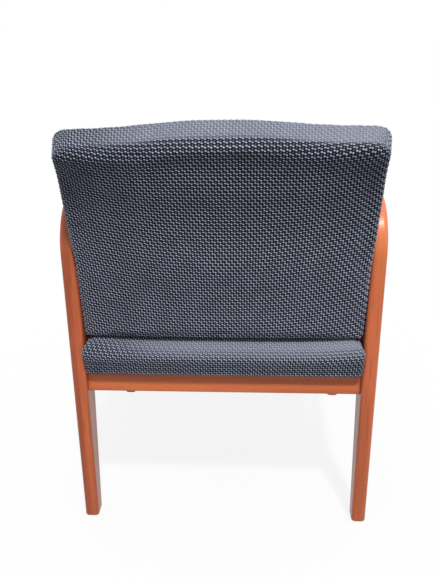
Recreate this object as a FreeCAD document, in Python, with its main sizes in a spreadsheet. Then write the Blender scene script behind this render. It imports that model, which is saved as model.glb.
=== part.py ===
import FreeCAD, Part
import math
import operator
import os

import Sketcher

# A fixed wooden visitor chair with an upholstered seat and back, drawn as a parametric document.
# +X is the sitter's left, -Y the front and +Z up. The origin is on the floor, under the middle of the
# chair's box. Lengths are millimetres and angles are degrees.

DIMENSIONS = {
    # Side frames: each is a rear leg, a bend, a straight arm, a bend and a front leg
    "frame_width": 580,
    "frame_depth": 540,
    "frame_thickness": 28,
    "arm_height": 673,
    "arm_thickness": 42,
    "bend_radius": 95,
    "leg_depth": 64,
    "foot_depth": 38,
    "taper_height": 270,
    "knee_radius": 300,
    "edge_radius": 8,
    "foot_radius": 4,
    # Floor glides and their nails
    "glide_diameter": 18,
    "glide_height": 3,
    "nail_diameter": 2.5,
    "nail_length": 16,
    # Seat rails
    "rail_thickness": 22,
    "rail_height": 49,
    "rail_setback": 15,
    "rear_rail_bottom": 295,
    "rail_edge_radius": 3,
    "side_rail_thickness": 20,
    "seat_slope": 4,
    # Corner blocks in the seat frame
    "block_thickness": 28,
    "block_reach": 60,
    "block_nose": 16,
    "block_drop": 3,
    # Dowels
    "arm_dowel_diameter": 10,
    "arm_dowel_length": 50,
    "arm_dowel_spacing": 26,
    "arm_end_dowel_spacing": 18,
    "rail_dowel_diameter": 8,
    "rail_dowel_length": 36,
    "rail_dowel_spacing": 24,
    "fit_clearance": 0.1,
    # Connector bolts, their washers, nuts, inserts and plugs
    "bolt_diameter": 6,
    "bolt_hole_diameter": 7,
    "bolt_head_diameter": 11,
    "bolt_head_height": 5,
    "washer_diameter": 14,
    "washer_thickness": 1.5,
    "counterbore_diameter": 16,
    "counterbore_depth": 9,
    "bolt_reach": 10,
    "nut_diameter": 10,
    "nut_length": 16,
    "nut_inset": 28,
    "insert_diameter": 10,
    "insert_length": 16,
    # Wood screws
    "screw_diameter": 4,
    "screw_hole_diameter": 4.4,
    "screw_head_diameter": 8,
    "screw_head_height": 3,
    "screw_bore_diameter": 9,
    "screw_grip": 14,
    "screw_bite": 13,
    "seat_screw_bite": 9,
    "seat_screw_inset": 32,
    "seat_screw_along": 12,
    "block_screw_inset": 42,
    # Seat cushion
    "side_clearance": 0.5,
    "seat_rear_overhang": 12,
    "seat_front_overhang": 6,
    "seat_rear_thickness": 46,
    "seat_middle_thickness": 58,
    "seat_front_thickness": 57,
    "seat_crown": 15,
    "seat_end_crown": 12,
    "seat_front_bow": 8,
    "seat_side_pull": 3,
    "seat_corner_radius": 26,
    "seat_top_radius": 22,
    "seat_bottom_radius": 8,
    "cover_thickness": 2,
    "seat_board_thickness": 12,
    "seat_board_inset": 14,
    "seat_flange": 44,
    "dust_cover_thickness": 1.2,
    # Back cushion, in heights measured up the reclined back, whose upper half curls rearward
    "back_recline": 9.5,
    "back_setback": 21,
    "back_bottom": 410,
    "back_curl_start": 170,
    "back_curl_radius": 500,
    "back_top_lean": 15,
    "back_shoulder": 396,
    "crest_rise": 14,
    "crest_half_width": 30,
    "crest_run": 160,
    "back_thickness": 64,
    "back_crown": 10,
    "back_front_crown": 5,
    "lumbar_swell": 8,
    "lumbar_height": 120,
    "back_corner_radius": 20,
    "back_rear_radius": 10,
    "back_front_radius": 16,
    # Frame and panel inside the back
    "back_frame_cover": 8,
    "back_frame_thickness": 24,
    "back_frame_inset": 9.5,
    "back_frame_low": 20,
    "back_frame_top_cover": 26,
    "stile_width": 32,
    "back_rail_height": 40,
    "back_dowel_spacing": 20,
    "back_panel_thickness": 6,
    "back_bolt_low": 72,
    "back_bolt_high": 136,
}

# How far a tool runs past the face that it cuts through, a cushion's sections past its outline, and
# the sketch that trims a cushion from the cushion
OVERCUT = 1
SECTION_MARGIN = 20
SKETCH_CLEARANCE = 200
# Where the back's curl is given a section, as shares of the way up the curl
CURL_SHARES = (0.35, 0.7, 1)
# How near counts as the same place, the same corner and the same direction when edges are picked
SAME_PLACE = 1e-4
SAME_CORNER = 1
SAME_DIRECTION = 0.9

doc = FreeCAD.newDocument("visitor_chair")
sheet = doc.addObject("Spreadsheet::Sheet", "dims")
for row, (alias, number) in enumerate(DIMENSIONS.items(), start=1):
    sheet.set(f"A{row}", alias)
    sheet.set(f"B{row}", str(number))
    sheet.setAlias(f"B{row}", alias)
doc.recompute()

OPERATIONS = {"+": operator.add, "-": operator.sub, "*": operator.mul, "/": operator.truediv}


class Size:
    """A number that keeps the sheet expression it comes from."""

    def __init__(self, number, text):
        self.number = number
        self.text = text

    def __add__(self, other):
        return combine(self, "+", other)

    def __radd__(self, other):
        return combine(other, "+", self)

    def __sub__(self, other):
        return combine(self, "-", other)

    def __rsub__(self, other):
        return combine(other, "-", self)

    def __mul__(self, other):
        return combine(self, "*", other)

    def __rmul__(self, other):
        return combine(other, "*", self)

    def __truediv__(self, other):
        return combine(self, "/", other)

    def __neg__(self):
        return combine(0, "-", self)


def as_size(value):
    if isinstance(value, Size):
        return value
    return Size(float(value), f"({float(value)})")


def combine(left, sign, right):
    left = as_size(left)
    right = as_size(right)
    return Size(OPERATIONS[sign](left.number, right.number), f"({left.text} {sign} {right.text})")


def sine(angle):
    return Size(math.sin(math.radians(angle.number)), f"sin({angle.text})")


def cosine(angle):
    return Size(math.cos(math.radians(angle.number)), f"cos({angle.text})")


def tangent(angle):
    return Size(math.tan(math.radians(angle.number)), f"tan({angle.text})")


def arc_tangent(ratio):
    return Size(math.degrees(math.atan(ratio.number)), f"atan({ratio.text})")


def arc_sine(ratio):
    return Size(math.degrees(math.asin(ratio.number)), f"(asin({ratio.text}) / 1 deg)")


def square_root(size):
    return Size(math.sqrt(size.number), f"sqrt({size.text})")


class Dimensions:
    """Gives each sheet cell as a Size, under its alias."""

    def __getattr__(self, alias):
        return Size(float(sheet.get(alias)), f"dims.{alias}")


dims = Dimensions()
nodes = {}


def bind(item, name, size):
    item.setExpression(name, as_size(size).text)


def keep(label, item):
    """Register a finished piece under the name of its node."""
    item.Label = label
    nodes[label] = item
    return item


# Sketches and part design features


def new_body(name):
    return doc.addObject("PartDesign::Body", name)


def sketch_on(body, plane, offset=0):
    """An empty sketch on one of the body's origin planes, moved along the plane's normal."""
    support = next(item for item in body.Origin.OriginFeatures if item.Role == plane)
    sketch = body.newObject("Sketcher::SketchObject", "Sketch")
    sketch.AttachmentSupport = [(support, "")]
    sketch.MapMode = "FlatFace"
    bind(sketch, "AttachmentOffset.Base.z", offset)
    return sketch


def minor_arc(start, end, radius, turn):
    """The short arc from start to end that turns left or right."""
    chord = end - start
    side = 1 if turn == "left" else -1
    to_centre = math.sqrt(radius**2 - (chord.Length / 2) ** 2)
    across = FreeCAD.Vector(-chord.y, chord.x, 0).normalize() * (side * to_centre)
    centre = start + chord * 0.5 + across
    first, last = (start, end) if turn == "left" else (end, start)
    angles = [math.atan2(point.y - centre.y, point.x - centre.x) for point in (first, last)]
    return Part.ArcOfCircle(Part.Circle(centre, FreeCAD.Vector(0, 0, 1), radius), *angles)


def constrain(sketch, size, kind, *where):
    number = sketch.addConstraint(Sketcher.Constraint(kind, *where, as_size(size).number))
    bind(sketch, f"Constraints[{number}]", size)


def draw_outline(sketch, corners):
    """A closed outline. A corner is (x, y), with (radius, turn) added where an arc leads to the next."""
    first = sketch.GeometryCount
    points = [FreeCAD.Vector(as_size(c[0]).number, as_size(c[1]).number, 0) for c in corners]
    ends = []
    for index, corner in enumerate(corners):
        start = points[index]
        end = points[(index + 1) % len(points)]
        if len(corner) == 2:
            sketch.addGeometry(Part.LineSegment(start, end), False)
            ends.append((1, 2))
        else:
            radius, turn = corner[2:]
            sketch.addGeometry(minor_arc(start, end, as_size(radius).number, turn), False)
            ends.append((1, 2) if turn == "left" else (2, 1))
    for index, corner in enumerate(corners):
        following = (index + 1) % len(corners)
        here = first + index
        there = first + following
        joined = Sketcher.Constraint("Coincident", here, ends[index][1], there, ends[following][0])
        sketch.addConstraint(joined)
        constrain(sketch, corner[0], "DistanceX", -1, 1, here, ends[index][0])
        constrain(sketch, corner[1], "DistanceY", -1, 1, here, ends[index][0])
        if len(corner) > 2:
            constrain(sketch, corner[2], "Radius", here)


def pad(body, sketch, length):
    feature = body.newObject("PartDesign::Pad", "Pad")
    feature.Profile = sketch
    bind(feature, "Length", length)
    doc.recompute()
    return feature


def cut_through(body, sketch):
    feature = body.newObject("PartDesign::Pocket", "Pocket")
    feature.Profile = sketch
    feature.Type = "ThroughAll"
    before = body.Shape.Volume
    doc.recompute()
    if not body.Shape.Volume < before:
        raise RuntimeError(f"{body.Name}: the pocket cuts nothing")
    return feature


def loft(body, sketches):
    feature = body.newObject("PartDesign::AdditiveLoft", "Loft")
    feature.Profile = sketches[0]
    feature.Sections = sketches[1:]
    doc.recompute()
    return feature


def fillet(body, base, radius, chosen):
    """Round the base feature's edges for which chosen(edge) holds."""
    names = [f"Edge{n}" for n, edge in enumerate(base.Shape.Edges, start=1) if chosen(edge)]
    feature = body.newObject("PartDesign::Fillet", "Fillet")
    feature.Base = (base, names)
    bind(feature, "Radius", radius)
    doc.recompute()
    return feature


def runs_along(edge, axis):
    """Whether a straight edge lies along an axis."""
    chord = edge.Vertexes[-1].Point - edge.Vertexes[0].Point
    return chord.Length > 0 and abs(chord.normalize().dot(axis)) > SAME_DIRECTION


def lies_at(edge, y=None, z=None):
    """Whether an edge lies wholly at that y, or at that z."""
    box = edge.BoundBox
    low, high, place = (box.YMin, box.YMax, y) if z is None else (box.ZMin, box.ZMax, z)
    return max(abs(low - place.number), abs(high - place.number)) < SAME_PLACE


def of_face(shape, direction):
    """A test for the edges of the face that lies furthest out in a direction."""
    face = max(shape.Faces, key=lambda item: item.CenterOfMass.dot(direction))
    return lambda edge: any(edge.isSame(other) for other in face.Edges)


def tilt(item, y, z, angle):
    """Stand a body on a tilted frame: turned about X, with its origin at y and z."""
    item.Placement = FreeCAD.Placement(FreeCAD.Vector(), FreeCAD.Rotation(X_AXIS, -angle.number))
    bind(item, "Placement.Base.y", y)
    bind(item, "Placement.Base.z", z)
    bind(item, "Placement.Rotation.Angle", -angle)


# Part primitives and booleans

X_AXIS = FreeCAD.Vector(1, 0, 0)
Y_AXIS = FreeCAD.Vector(0, 1, 0)
Z_AXIS = FreeCAD.Vector(0, 0, 1)


def rod(start, axis, diameter, length):
    """A cylinder from its start point along an axis."""
    item = doc.addObject("Part::Cylinder", "Rod")
    bind(item, "Radius", as_size(diameter) / 2)
    bind(item, "Height", length)
    item.Placement.Rotation = FreeCAD.Rotation(Z_AXIS, axis)
    for letter, size in zip("xyz", start):
        bind(item, f"Placement.Base.{letter}", size)
    return item


def joined(items):
    """One tool or piece made of items that meet or cross."""
    if len(items) == 1:
        return items[0]
    item = doc.addObject("Part::MultiFuse", "Joined")
    item.Shapes = items
    return item


def group(items):
    """Separate solids kept together."""
    item = doc.addObject("Part::Compound", "Group")
    item.Links = items
    return item


def cut(base, *tools):
    item = doc.addObject("Part::Cut", "Cut")
    item.Base = base
    item.Tool = joined(list(tools))
    return item


def common(base, tool):
    item = doc.addObject("Part::Common", "Common")
    item.Base = base
    item.Tool = tool
    return item


def mirrored(source):
    """The same piece on the other side of the chair."""
    item = doc.addObject("Part::Mirroring", "Mirrored")
    item.Source = source
    item.Normal = X_AXIS
    return item


def pair(name, item):
    keep(f"{name}_left", item)
    keep(f"{name}_right", mirrored(item))


def both_sides(label, items):
    """A node of fasteners, given for the left side and repeated on the right."""
    left = group(items)
    keep(label, group([left, mirrored(left)]))


# Places that several pieces share

half_width = dims.frame_width / 2
half_inside = half_width - dims.frame_thickness
# The back reaches furthest where its rear rounds into its crest: the round's middle lies on an arc
# about the curl's centre, and below the leaning top by the round's radius
crest_round = dims.back_curl_radius - dims.back_crown + dims.back_rear_radius
crest_drop = (
    dims.back_shoulder
    + dims.crest_rise
    - dims.back_rear_radius
    - dims.back_curl_radius * sine(dims.back_top_lean)
    - dims.back_curl_start * cosine(dims.back_top_lean)
)
crest_turn = dims.back_top_lean + arc_sine(crest_drop / crest_round)
rear_reach = (
    (dims.back_curl_radius - crest_round * cosine(crest_turn)) * cosine(dims.back_recline)
    + (dims.back_curl_start + crest_round * sine(crest_turn)) * sine(dims.back_recline)
    + dims.back_rear_radius
    - dims.back_setback
)
front_reach = dims.frame_depth + dims.seat_front_overhang
rear_face = (front_reach - rear_reach) / 2
front_face = rear_face - dims.frame_depth
rear_leg_front = rear_face - dims.leg_depth
front_leg_rear = front_face + dims.leg_depth
bend_level = dims.arm_height - dims.bend_radius
leg_middle = half_width - dims.frame_thickness / 2
arm_underside = dims.arm_height - dims.arm_thickness
under_radius = dims.bend_radius - dims.arm_thickness
rear_arm_joint = rear_leg_front - under_radius
front_arm_joint = front_leg_rear + under_radius

rear_rail_rear = rear_face - dims.rail_setback
rear_rail_front = rear_rail_rear - dims.rail_thickness
front_rail_front = front_face + dims.rail_setback
front_rail_rear = front_rail_front + dims.rail_thickness
rear_rail_middle = (rear_rail_rear + rear_rail_front) / 2
front_rail_middle = (front_rail_rear + front_rail_front) / 2
seat_level = dims.rear_rail_bottom + dims.rail_height
side_rail_inside = leg_middle - dims.side_rail_thickness / 2

nut_middle = half_inside - dims.nut_inset
frame_bolt_tip = nut_middle - dims.bolt_reach

back_origin_y = rear_face - dims.back_setback
back_sections_top = dims.back_shoulder + dims.crest_rise + 2 * SECTION_MARGIN
back_half = half_inside - dims.side_clearance
back_frame_half = back_half - dims.back_frame_inset
insert_tip = back_frame_half - dims.insert_length


def seat_plane(y):
    """Height of the sloping plane that the seat rests on."""
    return seat_level + (rear_rail_middle - y) * tangent(dims.seat_slope)


def on_back(rearward, up):
    """Chair y and z of a point given along the reclined back."""
    y = back_origin_y + rearward * cosine(dims.back_recline) + up * sine(dims.back_recline)
    z = dims.back_bottom - rearward * sine(dims.back_recline) + up * cosine(dims.back_recline)
    return y, z


def on_curl(rearward, along):
    """Rearward and up places, in the back's own frame, of a point given along the curled back."""
    turn = (along - dims.back_curl_start) / dims.back_curl_radius * (180 / math.pi)
    if turn.number <= 0:
        return as_size(rearward), as_size(along)
    reach = dims.back_curl_radius - rearward
    return dims.back_curl_radius - reach * cosine(turn), dims.back_curl_start + reach * sine(turn)


rear_rail_centre = seat_plane(rear_rail_middle) - dims.rail_height / 2
front_rail_centre = seat_plane(front_rail_middle) - dims.rail_height / 2
cross_rail_places = [(rear_rail_middle, rear_rail_centre), (front_rail_middle, front_rail_centre)]
back_bolt_depth = -(dims.back_frame_cover + dims.back_frame_thickness / 2)
back_bolt_places = [on_back(back_bolt_depth, up) for up in (dims.back_bolt_low, dims.back_bolt_high)]
arm_dowel_offsets = [dims.leg_depth / 2 + dims.arm_dowel_spacing / 2 * side for side in (-1, 1)]
rear_arm_dowels = [rear_face - offset for offset in arm_dowel_offsets]
front_arm_dowels = [front_face + offset for offset in arm_dowel_offsets]
arm_end_steps = [dims.arm_end_dowel_spacing / 2 * side for side in (-1, 1)]
rail_dowel_steps = [dims.rail_dowel_spacing / 2 * side for side in (-1, 1)]


# Holes, drilled by the same values as what goes into them


def arm_dowel(y, clearance=0):
    half = dims.arm_dowel_length / 2 + clearance
    start = (leg_middle, y, bend_level - half)
    return rod(start, Z_AXIS, dims.arm_dowel_diameter + 2 * as_size(clearance), half * 2)


def arm_end_dowel(y, step, clearance=0):
    half = dims.rail_dowel_length / 2 + clearance
    start = (leg_middle, y - half, dims.arm_height - dims.arm_thickness / 2 + step)
    return rod(start, Y_AXIS, dims.rail_dowel_diameter + 2 * as_size(clearance), half * 2)


def side_rail_dowel(y, step, clearance=0):
    half = dims.rail_dowel_length / 2 + clearance
    start = (leg_middle, y - half, seat_plane(y) - dims.rail_height / 2 + step)
    return rod(start, Y_AXIS, dims.rail_dowel_diameter + 2 * as_size(clearance), half * 2)


def cross_rail_dowel(place, step, clearance=0):
    half = dims.rail_dowel_length / 2 + clearance
    start = (half_inside - half, place[0], place[1] + step)
    return rod(start, X_AXIS, dims.rail_dowel_diameter + 2 * as_size(clearance), half * 2)


def bolt_hole(place, deepest):
    """A stepped hole from the leg's outer face, for a bolt whose head a plug hides."""
    y, z = place
    bore_start = half_width - dims.counterbore_depth
    return [
        rod((bore_start, y, z), X_AXIS, dims.counterbore_diameter, dims.counterbore_depth),
        rod((deepest, y, z), X_AXIS, dims.bolt_hole_diameter, half_width - deepest),
    ]


def nail(y, clearance=0):
    start = (leg_middle, y, dims.glide_height / 2)
    diameter = dims.nail_diameter + 2 * as_size(clearance)
    return rod(start, Z_AXIS, diameter, dims.nail_length + clearance)


# Side frames


def leg_blank(name, face, inward):
    """A tapered leg. Its outer face is upright at y = face, and inward is the sign of the other way."""
    slant = arc_tangent((dims.leg_depth - dims.foot_depth) / (dims.taper_height - dims.glide_height))
    knee = dims.knee_radius * tangent(slant / 2)
    inside = face + dims.leg_depth * inward
    corners = [
        (face, dims.glide_height),
        (face + dims.foot_depth * inward, dims.glide_height),
        (
            inside - knee * sine(slant) * inward,
            dims.taper_height - knee * cosine(slant),
            dims.knee_radius,
            "left" if inward > 0 else "right",
        ),
        (inside, dims.taper_height + knee),
        (inside, bend_level),
        (face, bend_level),
    ]
    body = new_body(name)
    sketch = sketch_on(body, "YZ_Plane", half_inside)
    draw_outline(sketch, corners)
    blank = pad(body, sketch, dims.frame_thickness)
    rounded = fillet(body, blank, dims.edge_radius, lambda edge: runs_along(edge, Z_AXIS))
    fillet(body, rounded, dims.foot_radius, lambda edge: lies_at(edge, z=dims.glide_height))
    return body


def make_legs():
    gap = dims.fit_clearance
    rails = {"rear": cross_rail_places[0], "front": cross_rail_places[1]}
    faces = {"rear": (rear_face, -1), "front": (front_face, 1)}
    arm_dowels = {"rear": rear_arm_dowels, "front": front_arm_dowels}
    inner_faces = {"rear": rear_leg_front, "front": front_leg_rear}
    for end, (face, inward) in faces.items():
        holes = [arm_dowel(y, gap) for y in arm_dowels[end]]
        holes += [side_rail_dowel(inner_faces[end], step, gap) for step in rail_dowel_steps]
        holes += [cross_rail_dowel(rails[end], step, gap) for step in rail_dowel_steps]
        holes += bolt_hole(rails[end], half_inside - OVERCUT)
        if end == "rear":
            for place in back_bolt_places:
                holes += bolt_hole(place, half_inside - OVERCUT)
        holes.append(nail(face + dims.foot_depth / 2 * inward, gap))
        pair(f"{end}_leg", cut(leg_blank(f"{end}_leg_blank", face, inward), *holes))


def arm_bend(name, face, joint, inward):
    """The curved corner between a leg, whose outer face is at y = face, and the end of the straight arm."""
    outer_turn, inner_turn = ("left", "right") if inward < 0 else ("right", "left")
    corners = [
        (face, bend_level, dims.bend_radius, outer_turn),
        (face + dims.bend_radius * inward, dims.arm_height),
        (joint, dims.arm_height),
        (joint, arm_underside, under_radius, inner_turn),
        (face + dims.leg_depth * inward, bend_level),
    ]
    body = new_body(name)
    sketch = sketch_on(body, "YZ_Plane", half_inside)
    draw_outline(sketch, corners)
    blank = pad(body, sketch, dims.frame_thickness)

    def long_edge(edge):
        at_joint = lies_at(edge, z=bend_level) or lies_at(edge, y=joint)
        return edge.BoundBox.XLength < SAME_PLACE and not at_joint

    fillet(body, blank, dims.edge_radius, long_edge)
    return body


def straight_arm():
    corners = [
        (front_arm_joint, arm_underside),
        (rear_arm_joint, arm_underside),
        (rear_arm_joint, dims.arm_height),
        (front_arm_joint, dims.arm_height),
    ]
    body = new_body("arm_blank")
    sketch = sketch_on(body, "YZ_Plane", half_inside)
    draw_outline(sketch, corners)
    blank = pad(body, sketch, dims.frame_thickness)
    fillet(body, blank, dims.edge_radius, lambda edge: runs_along(edge, Y_AXIS))
    return body


def make_arms():
    gap = dims.fit_clearance
    bends = {
        "rear": (rear_face, rear_arm_joint, -1, rear_arm_dowels),
        "front": (front_face, front_arm_joint, 1, front_arm_dowels),
    }
    for end, (face, joint, inward, dowels) in bends.items():
        holes = [arm_dowel(y, gap) for y in dowels]
        holes += [arm_end_dowel(joint, step, gap) for step in arm_end_steps]
        pair(f"{end}_arm_bend", cut(arm_bend(f"{end}_arm_bend_blank", face, joint, inward), *holes))
    joints = (rear_arm_joint, front_arm_joint)
    holes = [arm_end_dowel(joint, step, gap) for joint in joints for step in arm_end_steps]
    pair("arm", cut(straight_arm(), *holes))
    both_sides("arm_dowels", [arm_dowel(y) for y in rear_arm_dowels + front_arm_dowels])
    both_sides("arm_end_dowels", [arm_end_dowel(joint, step) for joint in joints for step in arm_end_steps])


def make_glides():
    places = {
        "rear": rear_face - dims.foot_depth / 2,
        "front": front_face + dims.foot_depth / 2,
    }
    for end, y in places.items():
        pad_rod = rod((leg_middle, y, 0), Z_AXIS, dims.glide_diameter, dims.glide_height)
        pair(f"{end}_glide", cut(pad_rod, nail(y, dims.fit_clearance)))
    both_sides("glide_nails", [nail(y) for y in places.values()])


# Seat frame


def cross_rail(name, rear, middle, front):
    """A rail between the legs, with its top edge planed to the seat's slope."""
    bottom = seat_plane(middle) - dims.rail_height
    body = new_body(name)
    sketch = sketch_on(body, "YZ_Plane", -half_inside)
    draw_outline(
        sketch,
        [(front, bottom), (rear, bottom), (rear, seat_plane(rear)), (front, seat_plane(front))],
    )
    blank = pad(body, sketch, half_inside * 2)

    def lower_edge(edge):
        return runs_along(edge, X_AXIS) and lies_at(edge, z=bottom)

    fillet(body, blank, dims.rail_edge_radius, lower_edge)
    return body


def nut_hole(place, inward):
    """The cross hole for a barrel nut, drilled from the rail's hidden face."""
    y, z = place
    gap = dims.fit_clearance
    start = (nut_middle, y + inward * dims.rail_thickness / 2, z)
    depth = (dims.rail_thickness + dims.nut_length) / 2 + gap
    return rod(start, Y_AXIS * -inward, dims.nut_diameter + 2 * gap, depth)


def barrel_nut(place):
    """The round nut inside a rail that takes a frame bolt."""
    y, z = place
    solid = rod((nut_middle, y - dims.nut_length / 2, z), Y_AXIS, dims.nut_diameter, dims.nut_length)
    bore = dims.bolt_diameter + 2 * dims.fit_clearance
    thread = rod((nut_middle - dims.nut_diameter, y, z), X_AXIS, bore, dims.nut_diameter * 2)
    return cut(solid, thread)


def make_cross_rails():
    gap = dims.fit_clearance
    shapes = {
        "rear": (rear_rail_rear, rear_rail_middle, rear_rail_front, -1),
        "front": (front_rail_rear, front_rail_middle, front_rail_front, 1),
    }
    for (end, (rear, middle, front, inward)), place in zip(shapes.items(), cross_rail_places):
        holes = [cross_rail_dowel(place, step, gap) for step in rail_dowel_steps]
        holes.append(rod((frame_bolt_tip - gap, *place), X_AXIS, dims.bolt_hole_diameter, half_inside))
        holes.append(nut_hole(place, inward))
        holes.append(block_screw_y(end, screw_hole))
        left = joined(holes)
        blank = cross_rail(f"{end}_rail_blank", rear, middle, front)
        keep(f"{end}_rail", cut(blank, left, mirrored(left)))
    dowels = [cross_rail_dowel(place, step) for place in cross_rail_places for step in rail_dowel_steps]
    both_sides("cross_rail_dowels", dowels)
    both_sides("frame_barrel_nuts", [barrel_nut(place) for place in cross_rail_places])


def make_side_rails():
    gap = dims.fit_clearance
    ends = (rear_leg_front, front_leg_rear)
    drop = dims.rail_height
    body = new_body("side_rail_blank")
    sketch = sketch_on(body, "YZ_Plane", side_rail_inside)
    draw_outline(
        sketch,
        [
            (ends[1], seat_plane(ends[1]) - drop),
            (ends[0], seat_plane(ends[0]) - drop),
            (ends[0], seat_plane(ends[0])),
            (ends[1], seat_plane(ends[1])),
        ],
    )
    blank = pad(body, sketch, dims.side_rail_thickness)

    def lower_edge(edge):
        return runs_along(edge, Y_AXIS) and edge.CenterOfMass.z < blank.Shape.CenterOfMass.z

    fillet(body, blank, dims.rail_edge_radius, lower_edge)
    holes = [side_rail_dowel(y, step, gap) for y in ends for step in rail_dowel_steps]
    holes += [block_screw_x(end, screw_hole) for end in block_places]
    pair("side_rail", cut(body, *holes))
    both_sides("side_rail_dowels", [side_rail_dowel(y, step) for y in ends for step in rail_dowel_steps])


# Corner blocks: rail is the cross rail's hidden face, leg the leg's inner face, inward the way between

block_places = {
    "rear": (rear_rail_front, rear_leg_front, -1),
    "front": (front_rail_rear, front_leg_rear, 1),
}


def block_top(end):
    rail, leg, inward = block_places[end]
    lowest = rail if end == "rear" else leg + dims.block_reach
    return seat_plane(lowest) - dims.block_drop


def block_middle(end):
    return block_top(end) - dims.block_thickness / 2


def screw(start, axis, length):
    """A round-headed wood screw, given from under its head."""
    shank = rod(start, axis, dims.screw_diameter, length)
    head = rod(start, axis * -1, dims.screw_head_diameter, dims.screw_head_height)
    return joined([shank, head])


def screw_hole(start, axis, length):
    return rod(start, axis, dims.screw_hole_diameter, length + dims.fit_clearance)


def screw_y_start(end):
    rail, leg, inward = block_places[end]
    x = half_inside - dims.block_screw_inset
    return (x, rail + inward * dims.screw_grip, block_middle(end))


def screw_x_start(end):
    rail, leg, inward = block_places[end]
    y = leg + inward * dims.block_reach / 2
    return (side_rail_inside - dims.screw_grip, y, block_middle(end))


def block_screw_y(end, make=screw):
    """The screw, or its hole, from a corner block into the cross rail."""
    inward = block_places[end][2]
    return make(screw_y_start(end), Y_AXIS * -inward, dims.screw_grip + dims.screw_bite)


def block_screw_x(end, make=screw):
    """The screw, or its hole, from a corner block into the side rail."""
    return make(screw_x_start(end), X_AXIS, dims.screw_grip + dims.screw_bite)


def seat_screw(end, make=screw):
    """The screw, or its hole, up through a corner block into the seat board."""
    rail, leg, inward = block_places[end]
    x = side_rail_inside - dims.seat_screw_inset
    y = leg + inward * dims.seat_screw_along
    bottom = block_top(end) - dims.block_thickness
    tip = seat_plane(y) + dims.cover_thickness + dims.seat_screw_bite
    return make((x, y, bottom), Z_AXIS, tip - bottom)


def make_corner_blocks():
    for end, (rail, leg, inward) in block_places.items():
        far = half_inside - dims.block_reach
        tip = leg + inward * dims.block_reach
        corners = [
            (far, rail),
            (half_inside, rail),
            (half_inside, leg),
            (side_rail_inside, leg),
            (side_rail_inside, tip),
            (side_rail_inside - dims.block_nose, tip),
            (far, rail + inward * dims.block_nose),
        ]
        body = new_body(f"{end}_corner_block_blank")
        sketch = sketch_on(body, "XY_Plane", block_top(end) - dims.block_thickness)
        draw_outline(sketch, corners)
        pad(body, sketch, dims.block_thickness)
        holes = [
            block_screw_x(end, screw_hole),
            block_screw_y(end, screw_hole),
            seat_screw(end, screw_hole),
            rod(screw_x_start(end), X_AXIS * -1, dims.screw_bore_diameter, dims.block_reach),
            rod(screw_y_start(end), Y_AXIS * inward, dims.screw_bore_diameter, dims.block_reach),
        ]
        pair(f"{end}_corner_block", cut(body, *holes))
    both_sides(
        "corner_block_screws",
        [make(end) for end in block_places for make in (block_screw_x, block_screw_y)],
    )
    both_sides("seat_screws", [seat_screw(end) for end in block_places])


# Connector bolts


def bolt(place, tip):
    y, z = place
    seat = half_width - dims.counterbore_depth + dims.washer_thickness
    shank = rod((tip, y, z), X_AXIS, dims.bolt_diameter, seat - tip)
    head = rod((seat, y, z), X_AXIS, dims.bolt_head_diameter, dims.bolt_head_height)
    return joined([shank, head])


def washer(place):
    y, z = place
    start = half_width - dims.counterbore_depth
    disc = rod((start, y, z), X_AXIS, dims.washer_diameter, dims.washer_thickness)
    hole = rod((start - OVERCUT, y, z), X_AXIS, dims.bolt_hole_diameter, dims.washer_thickness + 2 * OVERCUT)
    return cut(disc, hole)


def plug(place):
    """A wooden disc flush with the leg, over the bolt head."""
    y, z = place
    taken = dims.washer_thickness + dims.bolt_head_height
    start = half_width - dims.counterbore_depth + taken
    diameter = dims.counterbore_diameter - 2 * dims.fit_clearance
    return rod((start, y, z), X_AXIS, diameter, dims.counterbore_depth - taken)


def insert(place):
    """A threaded insert in a back stile."""
    bore = dims.bolt_diameter + 2 * dims.fit_clearance
    tube = rod((insert_tip, *place), X_AXIS, dims.insert_diameter, dims.insert_length)
    thread = rod((insert_tip - OVERCUT, *place), X_AXIS, bore, dims.insert_length + 2 * OVERCUT)
    return cut(tube, thread)


def make_bolts():
    both_sides("frame_bolts", [bolt(place, frame_bolt_tip) for place in cross_rail_places])
    both_sides("back_bolts", [bolt(place, insert_tip) for place in back_bolt_places])
    both_sides("back_inserts", [insert(place) for place in back_bolt_places])
    places = cross_rail_places + back_bolt_places
    both_sides("bolt_washers", [washer(place) for place in places])
    both_sides("bolt_plugs", [plug(place) for place in places])


# Seat, drawn on its own sloping frame: y rearward, z up from the plane that it rests on

seat_rear = (rear_face + dims.seat_rear_overhang - rear_rail_middle) / cosine(dims.seat_slope)
seat_front = (front_face - dims.seat_front_overhang - rear_rail_middle) / cosine(dims.seat_slope)
seat_half = half_inside - dims.side_clearance


def arc_radius(half_chord, rise):
    return (half_chord * half_chord + rise * rise) / (rise * 2)


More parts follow.
